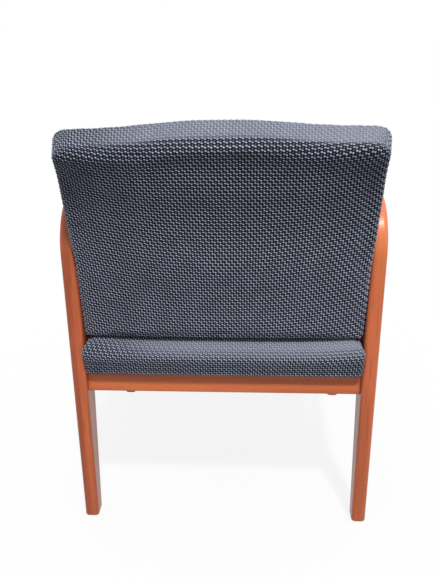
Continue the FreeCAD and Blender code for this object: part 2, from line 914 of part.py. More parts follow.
def seat_form(name, inset):
    """The crowned seat cushion, drawn in by an inset on every side."""
    body = new_body(name)
    wide = seat_half + SECTION_MARGIN
    stations = [
        (seat_rear + SECTION_MARGIN, dims.seat_rear_thickness, dims.seat_end_crown),
        ((seat_rear + seat_front) / 2, dims.seat_middle_thickness, dims.seat_crown),
        (seat_front - SECTION_MARGIN, dims.seat_front_thickness, dims.seat_end_crown),
    ]
    sections = []
    for y, thickness, crown in stations:
        section = sketch_on(body, "XZ_Plane", -y)
        top = thickness - inset
        draw_outline(
            section,
            [
                (-wide, inset),
                (wide, inset),
                (wide, top, arc_radius(wide, crown), "left"),
                (-wide, top),
            ],
        )
        sections.append(section)
    crowned = loft(body, sections)
    half = seat_half - inset
    rear = seat_rear - inset
    front = seat_front + dims.seat_front_bow + inset
    side = arc_radius((rear - front) / 2, dims.seat_side_pull)
    edge = wide + SECTION_MARGIN
    plan = sketch_on(body, "XY_Plane", SKETCH_CLEARANCE)
    draw_outline(
        plan,
        [
            (-half, rear, side, "right"),
            (-half, front, arc_radius(half, dims.seat_front_bow), "left"),
            (half, front, side, "right"),
            (half, rear),
        ],
    )
    draw_outline(
        plan,
        [
            (-edge, front - edge),
            (edge, front - edge),
            (edge, rear + edge),
            (-edge, rear + edge),
        ],
    )
    trimmed = cut_through(body, plan)
    cornered = fillet(body, trimmed, dims.seat_corner_radius - inset, lambda e: runs_along(e, Z_AXIS))
    topped = fillet(body, cornered, dims.seat_top_radius - inset, of_face(cornered.Shape, Z_AXIS))
    fillet(body, topped, dims.seat_bottom_radius - inset, of_face(topped.Shape, Z_AXIS * -1))
    tilt(body, rear_rail_middle, seat_level, dims.seat_slope)
    return body


def seat_slab(name, margin, low, thickness):
    """A flat sheet in the seat's frame, set in from the seat's edges by a margin."""
    body = new_body(name)
    sketch = sketch_on(body, "XY_Plane", low)
    half = seat_half - dims.seat_side_pull - margin
    rear = seat_rear - margin
    front = seat_front + dims.seat_front_bow + margin
    draw_outline(sketch, [(-half, front), (half, front), (half, rear), (-half, rear)])
    blank = pad(body, sketch, thickness)
    fillet(body, blank, dims.seat_corner_radius / 2, lambda edge: runs_along(edge, Z_AXIS))
    tilt(body, rear_rail_middle, seat_level, dims.seat_slope)
    return body


def make_seat():
    skin = dims.cover_thickness
    left_holes = joined([seat_screw(end, screw_hole) for end in block_places])
    screw_holes = [left_holes, mirrored(left_holes)]
    outer = seat_form("seat_outer_form", 0)
    inner = seat_form("seat_inner_form", skin)
    board = seat_slab("seat_board_blank", dims.seat_board_inset, skin, dims.seat_board_thickness)
    opening = seat_slab("seat_cover_opening", dims.seat_flange, -OVERCUT, skin + 2 * OVERCUT)
    keep("seat_cover", cut(outer, inner, opening, *screw_holes))
    keep("seat_foam", cut(inner, board))
    keep("seat_board", cut(board, *screw_holes))
    low = skin - dims.dust_cover_thickness
    margin = dims.seat_flange + dims.fit_clearance
    keep("seat_dust_cover", seat_slab("seat_dust_cover_blank", margin, low, dims.dust_cover_thickness))


# Back, drawn on its own reclined frame: y rearward from its rear side edges, z up from its lower edge

# The way that the curled rear faces, rearward and a little down
REAR_OUTLOOK = FreeCAD.Vector(0, 1, -0.1)


def curl_depth(up):
    """How far the curl carries the back rearward at a height."""
    rise = up - dims.back_curl_start
    return dims.back_curl_radius - square_root(dims.back_curl_radius * dims.back_curl_radius - rise * rise)


def leaning_sketch(body):
    """A sketch in front of the back that leans as the back's top does."""
    sketch = sketch_on(body, "XZ_Plane")
    lean = dims.back_top_lean
    sketch.AttachmentOffset = FreeCAD.Placement(FreeCAD.Vector(), FreeCAD.Rotation(X_AXIS, -lean.number))
    bind(sketch, "AttachmentOffset.Base.y", SKETCH_CLEARANCE * sine(lean))
    bind(sketch, "AttachmentOffset.Base.z", SKETCH_CLEARANCE * cosine(lean))
    bind(sketch, "AttachmentOffset.Rotation.Angle", -lean)
    return sketch


def back_form(name, inset):
    """The back cushion: bowed and curled rear, padded front with a lumbar swell, crested top."""
    body = new_body(name)
    half = back_half - inset
    wide = back_half + SECTION_MARGIN
    top = dims.back_shoulder - inset
    crest_top = top + dims.crest_rise
    curl_run = back_sections_top - dims.back_curl_start
    curl_heights = [dims.back_curl_start + curl_run * share for share in CURL_SHARES]
    stations = [
        (as_size(-SECTION_MARGIN), 0, 0),
        (dims.lumbar_height, 0, dims.lumbar_swell),
        (dims.back_curl_start, 0, dims.lumbar_swell / 2),
    ]
    stations += [(height, curl_depth(height), 0) for height in curl_heights]
    sections = []
    for height, curl, swell in stations:
        section = sketch_on(body, "XY_Plane", height)
        rear = as_size(curl) - inset
        front = curl + inset - dims.back_thickness - swell
        draw_outline(
            section,
            [
                (-wide, front, arc_radius(wide, dims.back_front_crown), "left"),
                (wide, front),
                (wide, rear, arc_radius(wide, dims.back_crown), "left"),
                (-wide, rear),
            ],
        )
        sections.append(section)
    loft(body, sections)
    crest_end = dims.crest_half_width + dims.crest_run
    crest_middle = dims.crest_half_width + dims.crest_run / 2
    sweep = arc_radius(dims.crest_run / 2, dims.crest_rise / 2)
    edge = wide + SECTION_MARGIN
    face = leaning_sketch(body)
    draw_outline(
        face,
        [
            (-half, inset),
            (half, inset),
            (half, top),
            (crest_end, top, sweep, "right"),
            (crest_middle, top + dims.crest_rise / 2, sweep, "left"),
            (dims.crest_half_width, crest_top),
            (-dims.crest_half_width, crest_top, sweep, "left"),
            (-crest_middle, top + dims.crest_rise / 2, sweep, "right"),
            (-crest_end, top),
            (-half, top),
        ],
    )
    draw_outline(face, [(-edge, -edge), (edge, -edge), (edge, crest_top + edge), (-edge, crest_top + edge)])
    trimmed = cut_through(body, face)
    up_axis = face.Placement.Rotation.multVec(Y_AXIS)

    def corner_edge(item):
        middle = item.CenterOfMass
        off_side = abs(abs(middle.x) - half.number)
        off_end = min(abs(middle.dot(up_axis) - as_size(end).number) for end in (inset, top))
        return max(off_side, off_end) < SAME_CORNER and runs_along(item, Y_AXIS)

    cornered = fillet(body, trimmed, dims.back_corner_radius - inset, corner_edge)
    behind = fillet(body, cornered, dims.back_rear_radius - inset, of_face(cornered.Shape, REAR_OUTLOOK))
    fillet(body, behind, dims.back_front_radius - inset, of_face(behind.Shape, REAR_OUTLOOK * -1))
    tilt(body, back_origin_y, dims.back_bottom, dims.back_recline)
    return body


def bent_corners(front, rear, low, high):
    """Corners of a bar's side view, between two depths and two places along the curled back."""
    start = dims.back_curl_start
    if high.number <= start.number:
        return [(front, low), (rear, low), (rear, high), (front, high)]
    rear_arc = (dims.back_curl_radius - rear, "right")
    front_arc = (dims.back_curl_radius - front, "left")
    bent_end = [on_curl(rear, high), (*on_curl(front, high), *front_arc)]
    if low.number >= start.number:
        return [(*on_curl(rear, low), *rear_arc), *bent_end, on_curl(front, low)]
    return [(front, low), (rear, low), (rear, start, *rear_arc), *bent_end, (front, start)]


def back_bar(name, across, corners):
    """A piece of the back's frame: a side view in the back's own frame, drawn out across the chair."""
    body = new_body(name)
    sketch = sketch_on(body, "YZ_Plane", across[0])
    draw_outline(sketch, corners)
    pad(body, sketch, across[1] - across[0])
    tilt(body, back_origin_y, dims.back_bottom, dims.back_recline)
    return body


def make_back():
    skin = dims.cover_thickness
    outer = back_form("back_outer_form", 0)
    inner = back_form("back_inner_form", skin)
    frame_half = back_frame_half
    stile_inside = frame_half - dims.stile_width
    rear = -dims.back_frame_cover
    front = rear - dims.back_frame_thickness
    panel_front = front - dims.back_panel_thickness
    low = dims.back_frame_low
    high = dims.back_shoulder - dims.back_frame_top_cover

    bore = dims.bolt_hole_diameter
    length = half_inside - insert_tip
    left_bores = joined([rod((insert_tip, *place), X_AXIS, bore, length) for place in back_bolt_places])
    bores = [left_bores, mirrored(left_bores)]
    keep("back_cover", cut(outer, inner, *bores))

    reach = dims.frame_width
    full_width = (-frame_half, frame_half)
    envelope = back_bar("back_frame_space", full_width, bent_corners(panel_front, rear, low, high))
    rear_arc = (dims.back_curl_radius - rear, "right")
    rear_end = on_curl(rear, back_sections_top)
    behind = back_bar(
        "back_rear_space",
        (-reach, reach),
        [
            (rear, -reach),
            (rear, dims.back_curl_start, *rear_arc),
            rear_end,
            (reach, rear_end[1]),
            (reach, -reach),
        ],
    )
    keep("back_foam_front", cut(inner, envelope, behind, *bores))
    keep("back_foam_rear", common(inner, behind))
    keep("back_panel", back_bar("back_panel_blank", full_width, bent_corners(panel_front, front, low, high)))

    gap = dims.fit_clearance
    dowel_depth = (rear + front) / 2
    rail_levels = {"back_bottom_rail": low, "back_top_rail": high - dims.back_rail_height}
    dowel_levels = [
        level + (dims.back_rail_height + dims.back_dowel_spacing * side) / 2
        for level in rail_levels.values()
        for side in (-1, 1)
    ]

    def frame_dowel(level, clearance=0):
        half = dims.rail_dowel_length / 2 + clearance
        start = (stile_inside - half, *on_back(*on_curl(dowel_depth, level)))
        return rod(start, X_AXIS, dims.rail_dowel_diameter + 2 * as_size(clearance), half * 2)

    left_dowel_holes = joined([frame_dowel(level, gap) for level in dowel_levels])
    insert_bore = dims.insert_diameter + 2 * gap
    insert_depth = dims.insert_length + gap
    insert_holes = [
        rod((insert_tip - gap, *place), X_AXIS, insert_bore, insert_depth) for place in back_bolt_places
    ]
    stile_side = bent_corners(front, rear, low, high)
    stile = back_bar("back_stile_blank", (stile_inside, frame_half), stile_side)
    pair("back_stile", cut(stile, left_dowel_holes, *insert_holes))
    for name, level in rail_levels.items():
        rail_side = bent_corners(front, rear, level, level + dims.back_rail_height)
        rail = back_bar(f"{name}_blank", (-stile_inside, stile_inside), rail_side)
        keep(name, cut(rail, left_dowel_holes, mirrored(left_dowel_holes)))
    both_sides("back_frame_dowels", [frame_dowel(level) for level in dowel_levels])


make_legs()
make_arms()
make_glides()
make_cross_rails()
make_side_rails()
make_corner_blocks()
make_bolts()
make_seat()
make_back()
doc.recompute()

failed = [item.Name for item in doc.Objects if {"Invalid", "Error"} & set(item.State)]
for label, item in nodes.items():
    if item.Shape.isNull() or not item.Shape.isValid() or not item.Shape.Solids:
        failed.append(label)
if failed:
    raise RuntimeError(f"not built: {failed}")

os.makedirs("parts", exist_ok=True)
for label, item in nodes.items():
    item.Shape.exportStep(f"parts/{label}.step")
print(f"{len(nodes)} nodes written")
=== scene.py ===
import math

import bpy
import numpy as np
from bpy.props import FloatProperty, FloatVectorProperty, IntProperty, PointerProperty
from mathutils import Matrix, Vector


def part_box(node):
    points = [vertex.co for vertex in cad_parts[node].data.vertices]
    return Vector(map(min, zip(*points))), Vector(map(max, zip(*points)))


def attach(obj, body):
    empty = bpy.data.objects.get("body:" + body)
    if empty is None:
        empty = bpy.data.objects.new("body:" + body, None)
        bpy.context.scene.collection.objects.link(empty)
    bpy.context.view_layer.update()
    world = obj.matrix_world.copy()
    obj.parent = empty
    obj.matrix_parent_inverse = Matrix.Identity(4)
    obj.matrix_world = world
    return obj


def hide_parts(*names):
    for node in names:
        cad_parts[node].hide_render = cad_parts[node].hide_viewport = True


bl_info = {
    "name": "Visitor chair looks",
    "version": (1, 0, 0),
    "blender": (4, 5, 0),
    "location": "3D View > Sidebar > Chair",
    "description": "Upholsters, stains and lights a wooden visitor chair around its packed frame",
    "category": "Object",
}

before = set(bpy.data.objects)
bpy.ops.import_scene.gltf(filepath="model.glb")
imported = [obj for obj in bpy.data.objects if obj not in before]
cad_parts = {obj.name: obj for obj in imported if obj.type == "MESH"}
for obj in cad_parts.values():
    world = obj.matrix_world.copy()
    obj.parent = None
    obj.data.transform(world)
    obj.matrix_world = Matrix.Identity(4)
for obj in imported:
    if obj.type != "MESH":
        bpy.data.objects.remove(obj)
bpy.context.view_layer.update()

# Places read from the frame, in metres: +X is the sitter's left, -Y the front, +Z up
REAR_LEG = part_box("rear_leg_left")
FRONT_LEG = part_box("front_leg_left")
REAR_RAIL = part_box("rear_rail")
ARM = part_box("arm_left")
HALF_INSIDE = REAR_LEG[0].x
REAR_FACE = REAR_LEG[1].y
FRONT_FACE = FRONT_LEG[0].y
ARM_TOP = ARM[1].z
BEND_LEVEL = REAR_LEG[1].z
BEND_RADIUS = ARM_TOP - BEND_LEVEL

ENDS = ("rear", "front")
SIDES = ("left", "right")

FABRIC_NODES = {
    "seat": ("seat_cover", "seat_foam"),
    "back": ("back_cover", "back_foam_front", "back_foam_rear"),
}


# Settings


COLOUR = {"subtype": "COLOR", "min": 0.0, "max": 1.0}
SHARE = {"subtype": "FACTOR", "min": 0.0, "max": 1.0}


class ChairCloth(bpy.types.PropertyGroup):
    """The coarse two-tone upholstery weave."""

    light_yarn: FloatVectorProperty(
        name="Light yarn",
        description="Colour of the raised blue-grey yarn",
        **COLOUR,
        default=(0.69, 0.74, 0.94),
    )
    # Partly the charcoal ground, partly painted shade: darkened to stand in for the shadow in the weave's
    # hollows
    dark_yarn_and_hollow_shade: FloatVectorProperty(
        name="Dark yarn",
        description="Colour of the charcoal ground between the raised yarns",
        **COLOUR,
        default=(0.010, 0.012, 0.019),
    )
    # Painted sunlight: the pale colour laid on the cloth where it faces up, standing in for the sun from
    # above
    sunlit_colour: FloatVectorProperty(
        name="Sunlit",
        description="Colour that daylight and dust have given the cloth where it faces up",
        **COLOUR,
        default=(0.33, 0.35, 0.43),
    )
    cell_width: FloatProperty(
        name="Cell width",
        description="Width of one oval of the weave",
        unit="LENGTH",
        default=0.0096,
    )
    row_height: FloatProperty(
        name="Row height",
        description="Height of one row of ovals",
        unit="LENGTH",
        default=0.0062,
    )
    relief: FloatProperty(
        name="Relief",
        description="How far the light yarn stands above the ground",
        unit="LENGTH",
        default=0.0015,
    )
    bow: FloatProperty(
        name="Bow",
        description="How far the rows of the back's cloth rise from its middle to its side edges",
        unit="LENGTH",
        default=0.028,
    )


class ChairWood(bpy.types.PropertyGroup):
    """The stained and lacquered hardwood of the frame."""

    light_stain: FloatVectorProperty(
        name="Light stain",
        description="Colour of the early wood under the stain",
        **COLOUR,
        default=(0.72, 0.170, 0.058),
    )
    dark_stain: FloatVectorProperty(
        name="Dark stain",
        description="Colour of the late wood and pores",
        **COLOUR,
        default=(0.34, 0.064, 0.021),
    )
    # Partly wear, partly painted light: also laid on as sunlight on the sitter's right arm end and over the
    # cross rails
    rubbed_and_lit: FloatVectorProperty(
        name="Rubbed and lit",
        description="Colour of the stain where hands and light have paled it",
        **COLOUR,
        default=(0.95, 0.265, 0.085),
    )
    lacquer: FloatProperty(
        name="Lacquer",
        description="Weight of the clear satin coat",
        **SHARE,
        default=0.5,
    )


class ChairCushions(bpy.types.PropertyGroup):
    """Shapes of the seat and the back."""

    seat_slope: FloatProperty(
        name="Seat slope",
        description="How far the seat falls towards the back",
        subtype="ANGLE",
        default=math.radians(4.0),
    )
    seat_overhang: FloatProperty(
        name="Seat overhang",
        description="How far the seat runs behind the rear legs",
        unit="LENGTH",
        default=0.012,
    )
    recline: FloatProperty(
        name="Recline",
        description="How far the back leans from upright",
        subtype="ANGLE",
        default=math.radians(9.5),
    )
    back_setback: FloatProperty(
        name="Back setback",
        description="How far the back's lower rear edge lies in front of the legs' rear faces",
        unit="LENGTH",
        default=0.021,
    )
    back_bottom: FloatProperty(
        name="Back bottom",
        description="Height of the back's lower edge",
        unit="LENGTH",
        default=0.410,
    )
    curl_start: FloatProperty(
        name="Curl start",
        description="Height up the back where it begins to curl rearward",
        unit="LENGTH",
        default=0.170,
    )
    curl_radius: FloatProperty(
        name="Curl radius",
        description="Radius of the back's rearward curl",
        unit="LENGTH",
        default=0.500,
    )
    top_lean: FloatProperty(
        name="Top lean",
        description="How far the back's top leans rearward from square to its lower half",
        subtype="ANGLE",
        default=math.radians(15.0),
    )
    mesh_step: FloatProperty(
        name="Mesh step",
        description="Spacing of the cover's threads in the simulation",
        unit="LENGTH",
        default=0.0062,
    )
    pressure: FloatProperty(
        name="Pressure",
        description="How hard the foam presses the cover out",
        default=4.0,
    )
    frames: IntProperty(
        name="Frames",
        description="How many steps the cover has to settle",
        default=20,
    )


class ChairStudio(bpy.types.PropertyGroup):
    """Floor, light and camera."""

    floor_colour: FloatVectorProperty(
        name="Floor",
        description="Colour of the studio floor",
        **COLOUR,
        default=(0.82, 0.82, 0.82),
    )
    bounce: FloatProperty(
        name="Bounce",
        description="How much light the floor throws back on the chair",
        **SHARE,
        default=0.12,
    )
    sky: FloatProperty(
        name="Sky",
        description="Strength of the even light from all round",
        default=0.60,
    )
    key: FloatProperty(
        name="Key",
        description="Strength of the high lamp behind the chair",
        default=2.4,
    )
    key_height: FloatProperty(
        name="Key height",
        description="Angle of the key lamp above the horizon",
        subtype="ANGLE",
        default=math.radians(59.5),
    )
    key_side: FloatProperty(
        name="Key side",
        description="How far round towards the sitter's right the key lamp hangs",
        subtype="ANGLE",
        default=math.radians(14.0),
    )
    lens: FloatProperty(
        name="Lens",
        description="Focal length on a 36 mm sensor, in millimetres",
        default=43.674,
    )


class ChairSettings(bpy.types.PropertyGroup):
    """Everything that the sidebar offers."""

    cloth: PointerProperty(type=ChairCloth)
    wood: PointerProperty(type=ChairWood)
    cushions: PointerProperty(type=ChairCushions)
    studio: PointerProperty(type=ChairStudio)


# Shader building


# Rays that show a thing to the camera: straight, in a gloss or through another thing
SHOWN_RAYS = ("Is Camera Ray", "Is Glossy Ray", "Is Transmission Ray")


class Value:
    """A socket inside a node tree, with the arithmetic that adds Math nodes."""

    def __init__(self, nodes, socket):
        self.nodes = nodes
        self.socket = socket

    def math(self, operation, *others):
        sockets = dict(enumerate((self, *others)))
        return self.nodes.value("ShaderNodeMath", {"operation": operation}, sockets)

    def turned(self, operation, other):
        return self.nodes.value("ShaderNodeMath", {"operation": operation}, {0: other, 1: self})

    def __add__(self, other):
        return self.math("ADD", other)

    __radd__ = __add__

    def __sub__(self, other):
        return self.math("SUBTRACT", other)

    def __rsub__(self, other):
        return self.turned("SUBTRACT", other)

    def __mul__(self, other):
        return self.math("MULTIPLY", other)

    __rmul__ = __mul__

    def __truediv__(self, other):
        return self.math("DIVIDE", other)

    def __rtruediv__(self, other):
        return self.turned("DIVIDE", other)

    def __neg__(self):
        return self.math("MULTIPLY", -1.0)

    def __abs__(self):
        return self.math("ABSOLUTE")

    def least(self, other):
        return self.math("MINIMUM", other)

    def most(self, other):
        return self.math("MAXIMUM", other)

    def between(self, low, high):
        return self.most(low).least(high)

    def cosine(self):
        return self.math("COSINE")

    def root(self):
        return self.math("SQRT")

    def step(self, low, high):
        """0 below low and 1 above high, with a smooth rise between."""
        sockets = {"Value": self, "From Min": low, "From Max": high}
        return self.nodes.value("ShaderNodeMapRange", {"interpolation_type": "SMOOTHSTEP"}, sockets)


class Nodes:
    """A node tree in the making."""

    def __init__(self, tree):
        self.tree = tree
        tree.nodes.clear()

    def add(self, kind, settings=None, sockets=None):
        """Add a node: its settings are set first, then its sockets are linked or set."""
        made = self.tree.nodes.new(kind)
        for name, setting in (settings or {}).items():
            setattr(made, name, setting)
        self.fill(made, sockets or {})
        return made

    def value(self, kind, settings=None, sockets=None, output=0):
        """Add a node and take one of its outputs."""
        return Value(self, self.add(kind, settings, sockets).outputs[output])

    def fill(self, made, sockets):
        for key, value in sockets.items():
            if isinstance(value, Value):
                self.tree.links.new(value.socket, made.inputs[key])
            else:
                made.inputs[key].default_value = value

    def shown(self):
        """1 on the rays that show a thing, and 0 on those that only carry its light to another."""
        rays = self.add("ShaderNodeLightPath").outputs
        seen, glossy, through = [Value(self, rays[name]) for name in SHOWN_RAYS]
        return seen.most(glossy).most(through)


class Finish(Nodes):
    """A material in the making, with its Principled shader."""

    def __init__(self, name):
        self.material = bpy.data.materials.new(name)
        self.material.use_nodes = True
        super().__init__(self.material.node_tree)
        self.shader = self.add("ShaderNodeBsdfPrincipled")
        self.output = self.add("ShaderNodeOutputMaterial")
        self.show(self.shaded())

    def shaded(self):
        return Value(self, self.shader.outputs[0])

    def show(self, shader):
        self.fill(self.output, {"Surface": shader})

    def surface(self, sockets):
        self.fill(self.shader, sockets)

    def place(self):
        return self.value("ShaderNodeTexCoord", None, None, "Object")

    def facing(self):
        return self.value("ShaderNodeTexCoord", None, None, "Normal")

    def cloth_place(self):
        return self.value("ShaderNodeUVMap", {"uv_map": "cloth"})

    def split(self, vector):
        made = self.add("ShaderNodeSeparateXYZ", None, {0: vector})
        return [Value(self, socket) for socket in made.outputs]

    def join(self, x, y, z):
        return self.value("ShaderNodeCombineXYZ", None, {0: x, 1: y, 2: z})

    def noise(self, vector, scale, detail=3.0, roughness=0.55, distortion=0.0):
        sockets = {
            "Vector": vector,
            "Scale": scale,
            "Detail": detail,
            "Roughness": roughness,
            "Distortion": distortion,
        }
        return self.value("ShaderNodeTexNoise", None, sockets)

    def streaks(self, vector, turns, shift=(0.0, 0.0, 0.0), **look):
        """Noise with its own turns per metre along each axis, moved by a shift."""
        sockets = {0: vector, 1: turns, 2: shift}
        drawn = self.value("ShaderNodeVectorMath", {"operation": "MULTIPLY_ADD"}, sockets)
        return self.noise(drawn, scale=1.0, **look)

    def spots(self, vector, scale):
        """Distance to the nearest of many scattered points."""
        return self.value("ShaderNodeTexVoronoi", None, {"Vector": vector, "Scale": scale}, "Distance")

    def mixed(self, share, low, high):
        return self.value("ShaderNodeMix", {"data_type": "RGBA"}, {0: share, 6: low, 7: high}, 2)

    def bump(self, height, distance, strength=1.0):
        sockets = {"Height": height, "Distance": distance, "Strength": strength}
        return self.value("ShaderNodeBump", None, sockets)


def opaque(colour, share=1.0):
    """A colour with full alpha, made darker or lighter by a share."""
    return (*[channel * share for channel in colour], 1.0)


# Finishes


# The weave as waves: weight, turns along the slant of the floats and turns along the rows. The sum is
# highest on the ends of the slanting light floats and lowest beside the dark ovals between them.
WEAVE_WAVES = ((0.45, 0, 1), (0.38, 1, 0), (-0.54, 2, -1), (-0.36, 1, -2), (0.40, 1, 1))
WEAVE_FLOOR = -0.23
WEAVE_TOP = 1.49

# How far the threads wander across and along the rows, in metres, and the tint of their loose fibres
THREAD_DRIFT = 0.0016
THREAD_SLACK = 0.0012
FUZZ_TINT = (0.66, 0.71, 0.84)


def weave(across, up, cloth, cosine):
    """Lightness of the weave at a cloth place, about 0 in the ground and 1 on the ends of the floats."""
    row = up * (2.0 * math.pi / cloth.row_height)
    slant = across * (2.0 * math.pi / cloth.cell_width) + row * 0.5
    total = 0.0
    for weight, slants, rows in WEAVE_WAVES:
        total = total + weight * cosine(slant * slants + row * rows)
    return (total - WEAVE_FLOOR) / (WEAVE_TOP - WEAVE_FLOOR)


def woven_cloth(cloth):
    """Dark ovals between slanting floats of light yarn, in half-offset rows, with painted sunlight where it
    faces up.
    """
    finish = Finish("woven_upholstery")
    across, up, _ = finish.split(finish.cloth_place())
    flat = finish.join(across, up, 0.0)
    drift = finish.noise(flat, scale=30.0, detail=2.0) - 0.5
    slack = finish.noise(finish.join(up, across, 0.3), scale=34.0, detail=2.0) - 0.5
    light = weave(across + drift * THREAD_DRIFT, up + slack * THREAD_SLACK, cloth, Value.cosine)
    light = light.between(0.0, 1.0)
    fibre = finish.noise(finish.join(across, up * 2.2, 0.0), scale=1100.0, detail=2.0)
    patch = finish.noise(flat, scale=210.0, detail=2.0)
    fade = finish.noise(flat, scale=9.0)
    x, y, _ = finish.split(finish.place())
    # Painted shade darkens the cloth on the sitter's left, and painted sunlight pales what faces up behind,
    # most on the right
    painted_left_shade = 1.0 - 0.16 * x.step(0.02, 0.20)
    bright = light * (0.6 + 0.6 * patch) * (0.75 + 0.5 * fibre) * (0.85 + 0.24 * fade) * painted_left_shade
    # The dark colour holds the charcoal ground and painted shade in the weave's hollows
    colour = finish.mixed(bright.between(0.0, 1.0), opaque(cloth.dark_yarn_and_hollow_shade), opaque(cloth.light_yarn))
    # Painted sunlight: upward faces of the rear cloth are paled, less on the sitter's left and more on the
    # right
    _, _, upward = finish.split(finish.facing())
    side = 1.0 - 0.9 * x.step(0.08, 0.24) + 0.3 * (-x).step(0.05, 0.22)
    sunny = side * y.step(REAR_FACE - 0.035, REAR_FACE - 0.010)
    painted_sunlight = upward.step(0.15, 0.85) * (0.22 + 0.44 * patch) * sunny
    finish.surface(
        {
            "Base Color": finish.mixed(painted_sunlight, colour, opaque(cloth.sunlit_colour)),
            "Roughness": 0.85 - 0.12 * light,
            "Normal": finish.bump(light * 0.5 + fibre * 0.12, distance=cloth.relief),
            "Specular IOR Level": 0.1,
            "Sheen Weight": 0.12,
            "Sheen Roughness": 0.5,
            "Sheen Tint": opaque(FUZZ_TINT),
        }
    )
    return finish.material


def grain_places(finish, run):
    """Places along and across the grain: with the bent side frame, or along x or y."""
    x, y, z = finish.split(finish.place())
    if run == "x":
        return x, z, y
    if run == "y":
        return y, z, x
    middle = y.between(FRONT_FACE + BEND_RADIUS, REAR_FACE - BEND_RADIUS)
    out = y - middle
    over = (z - BEND_LEVEL).most(0.0)
    reach = (out * out + over * over).root()
    turned = over.math("ARCTAN2", abs(out))
    along = (z - BEND_LEVEL).least(0.0) + turned * BEND_RADIUS - middle
    return along, reach, x


# Raw wood that shows in the nicks, how far the grain moves on from one piece to the next, and how much
# painted light pales the cross rails
NICK_COLOUR = (0.62, 0.36, 0.22)
GRAIN_SHIFT = 0.37
CROSS_RAIL_PAINTED_LIGHT = 0.3


def stained_wood(wood, name, run, seed, paled=0.0):
    """Hardwood under a red-brown stain and a satin lacquer, darker towards the floor, paler where worn, and
    paler where painted light is laid on.
    """
    finish = Finish(name)
    along, across, depth = grain_places(finish, run)
    grain = finish.join(along, across, depth)
    shift = seed * GRAIN_SHIFT
    moved = (shift, 0.0, 0.0)
    broad = finish.streaks(grain, (1.6, 26.0, 26.0), (shift, 0.0, shift), roughness=0.5, distortion=0.6)
    rings = finish.streaks(grain, (3.0, 120.0, 90.0), moved, detail=4.0, roughness=0.6, distortion=0.9)
    pores = finish.streaks(grain, (22.0, 900.0, 900.0), moved, detail=2.0, roughness=0.6)
    streak = pores.step(0.56, 0.72)
    tone = (broad * 0.55 + rings * 0.45).step(0.36, 0.64)
    stain = finish.mixed(tone, opaque(wood.dark_stain, 1.15), opaque(wood.light_stain, 1.04))
    lined = finish.mixed(streak * 0.65, stain, opaque(wood.dark_stain, 0.8))
    nicks = finish.spots(finish.join(along * 0.6, across, depth), scale=19.0)
    nick = 1.0 - nicks.step(0.035, 0.075)
    worn = finish.mixed(nick * 0.6, lined, opaque(NICK_COLOUR))
    x, y, z = finish.split(finish.place())
    # Darker towards the floor
    low_darkening = 0.32 * (1.0 - z.step(0.05, 0.36))
    worn = finish.mixed(low_darkening, worn, opaque(wood.dark_stain, 0.9))
    # Wear pales both arms' rear ends a little; more on the sitter's right is painted sunlight
    worn_and_sunlit = z.step(BEND_LEVEL - 0.09, BEND_LEVEL + 0.05) * (0.12 + 0.5 * (-x).step(-0.1, 0.1))
    rubbed_and_lit = worn_and_sunlit * y.step(REAR_FACE - 0.20, REAR_FACE - 0.04) + paled
    finish.surface(
        {
            "Base Color": finish.mixed(rubbed_and_lit, worn, opaque(wood.rubbed_and_lit)),
            "Roughness": 0.36 + 0.12 * rings + 0.1 * streak,
            "Normal": finish.bump(1.0 - streak * 0.5 - nick, distance=0.00025, strength=0.6),
            "Coat Weight": wood.lacquer,
            "Coat Roughness": 0.28,
            "Specular IOR Level": 0.2,
        }
    )
    return finish.material


BEECH = (0.55, 0.37, 0.21)
DARK_BEECH = (0.36, 0.22, 0.11)


def bare_wood(name, run):
    """Unstained beech of the hidden pieces."""
    finish = Finish(name)
    places = finish.join(*grain_places(finish, run))
    grain = finish.streaks(places, (5.0, 160.0, 160.0), detail=4.0, roughness=0.6, distortion=0.5)
    flecks = finish.streaks(places, (60.0, 900.0, 900.0), detail=2.0).step(0.58, 0.75)
    colour = finish.mixed(grain.step(0.3, 0.7), opaque(DARK_BEECH), opaque(BEECH))
    finish.surface(
        {
            "Base Color": finish.mixed(flecks * 0.4, colour, opaque(DARK_BEECH, 0.7)),
            "Roughness": 0.62 + 0.2 * grain,
            "Normal": finish.bump(grain, distance=0.0003, strength=0.5),
        }
    )
    return finish.material


VENEER_THICKNESS = 0.003
VENEER = (0.62, 0.45, 0.28)
DARK_VENEER = (0.42, 0.27, 0.15)
VENEER_EDGE = (0.30, 0.18, 0.09)


def layered_board(name, axis):
    """Plywood: crossed veneers show along the edges, grain on the faces."""
    finish = Finish(name)
    place = finish.place()
    _, y, z = finish.split(place)
    level = {"y": y, "z": z}[axis]
    veneer = ((level * (2.0 * math.pi / VENEER_THICKNESS)).cosine() * 0.5 + 0.5).step(0.2, 0.8)
    grain = finish.streaks(place, (4.0, 140.0, 140.0), detail=4.0, roughness=0.6, distortion=0.6)
    face = finish.mixed(grain.step(0.3, 0.7), opaque(DARK_VENEER), opaque(VENEER))
    finish.surface(
        {
            "Base Color": finish.mixed(veneer * 0.25, face, opaque(VENEER_EDGE)),
            "Roughness": 0.7 + 0.15 * grain,
            "Normal": finish.bump(grain, distance=0.0003, strength=0.5),
        }
    )
    return finish.material


ZINC = (0.62, 0.61, 0.58)
DULL_ZINC = (0.42, 0.41, 0.38)


def plated_steel():
    """Zinc-plated fittings with fine turning marks and a few dull patches."""
    finish = Finish("zinc_plated_steel")
    place = finish.place()
    lines = finish.streaks(place, (900.0, 90.0, 90.0), detail=2.0)
    dull = finish.noise(place, scale=120.0).step(0.45, 0.7)
    finish.surface(
        {
            "Base Color": finish.mixed(dull, opaque(ZINC), opaque(DULL_ZINC)),
            "Metallic": 1.0 - 0.25 * dull,
            "Roughness": 0.28 + 0.14 * lines + 0.2 * dull,
            "Normal": finish.bump(lines, distance=0.0001, strength=0.4),
        }
    )
    return finish.material


NYLON = (0.030, 0.027, 0.025)
SCUFFED_NYLON = (0.16, 0.15, 0.14)
SCUFF_HEIGHT = 0.0016


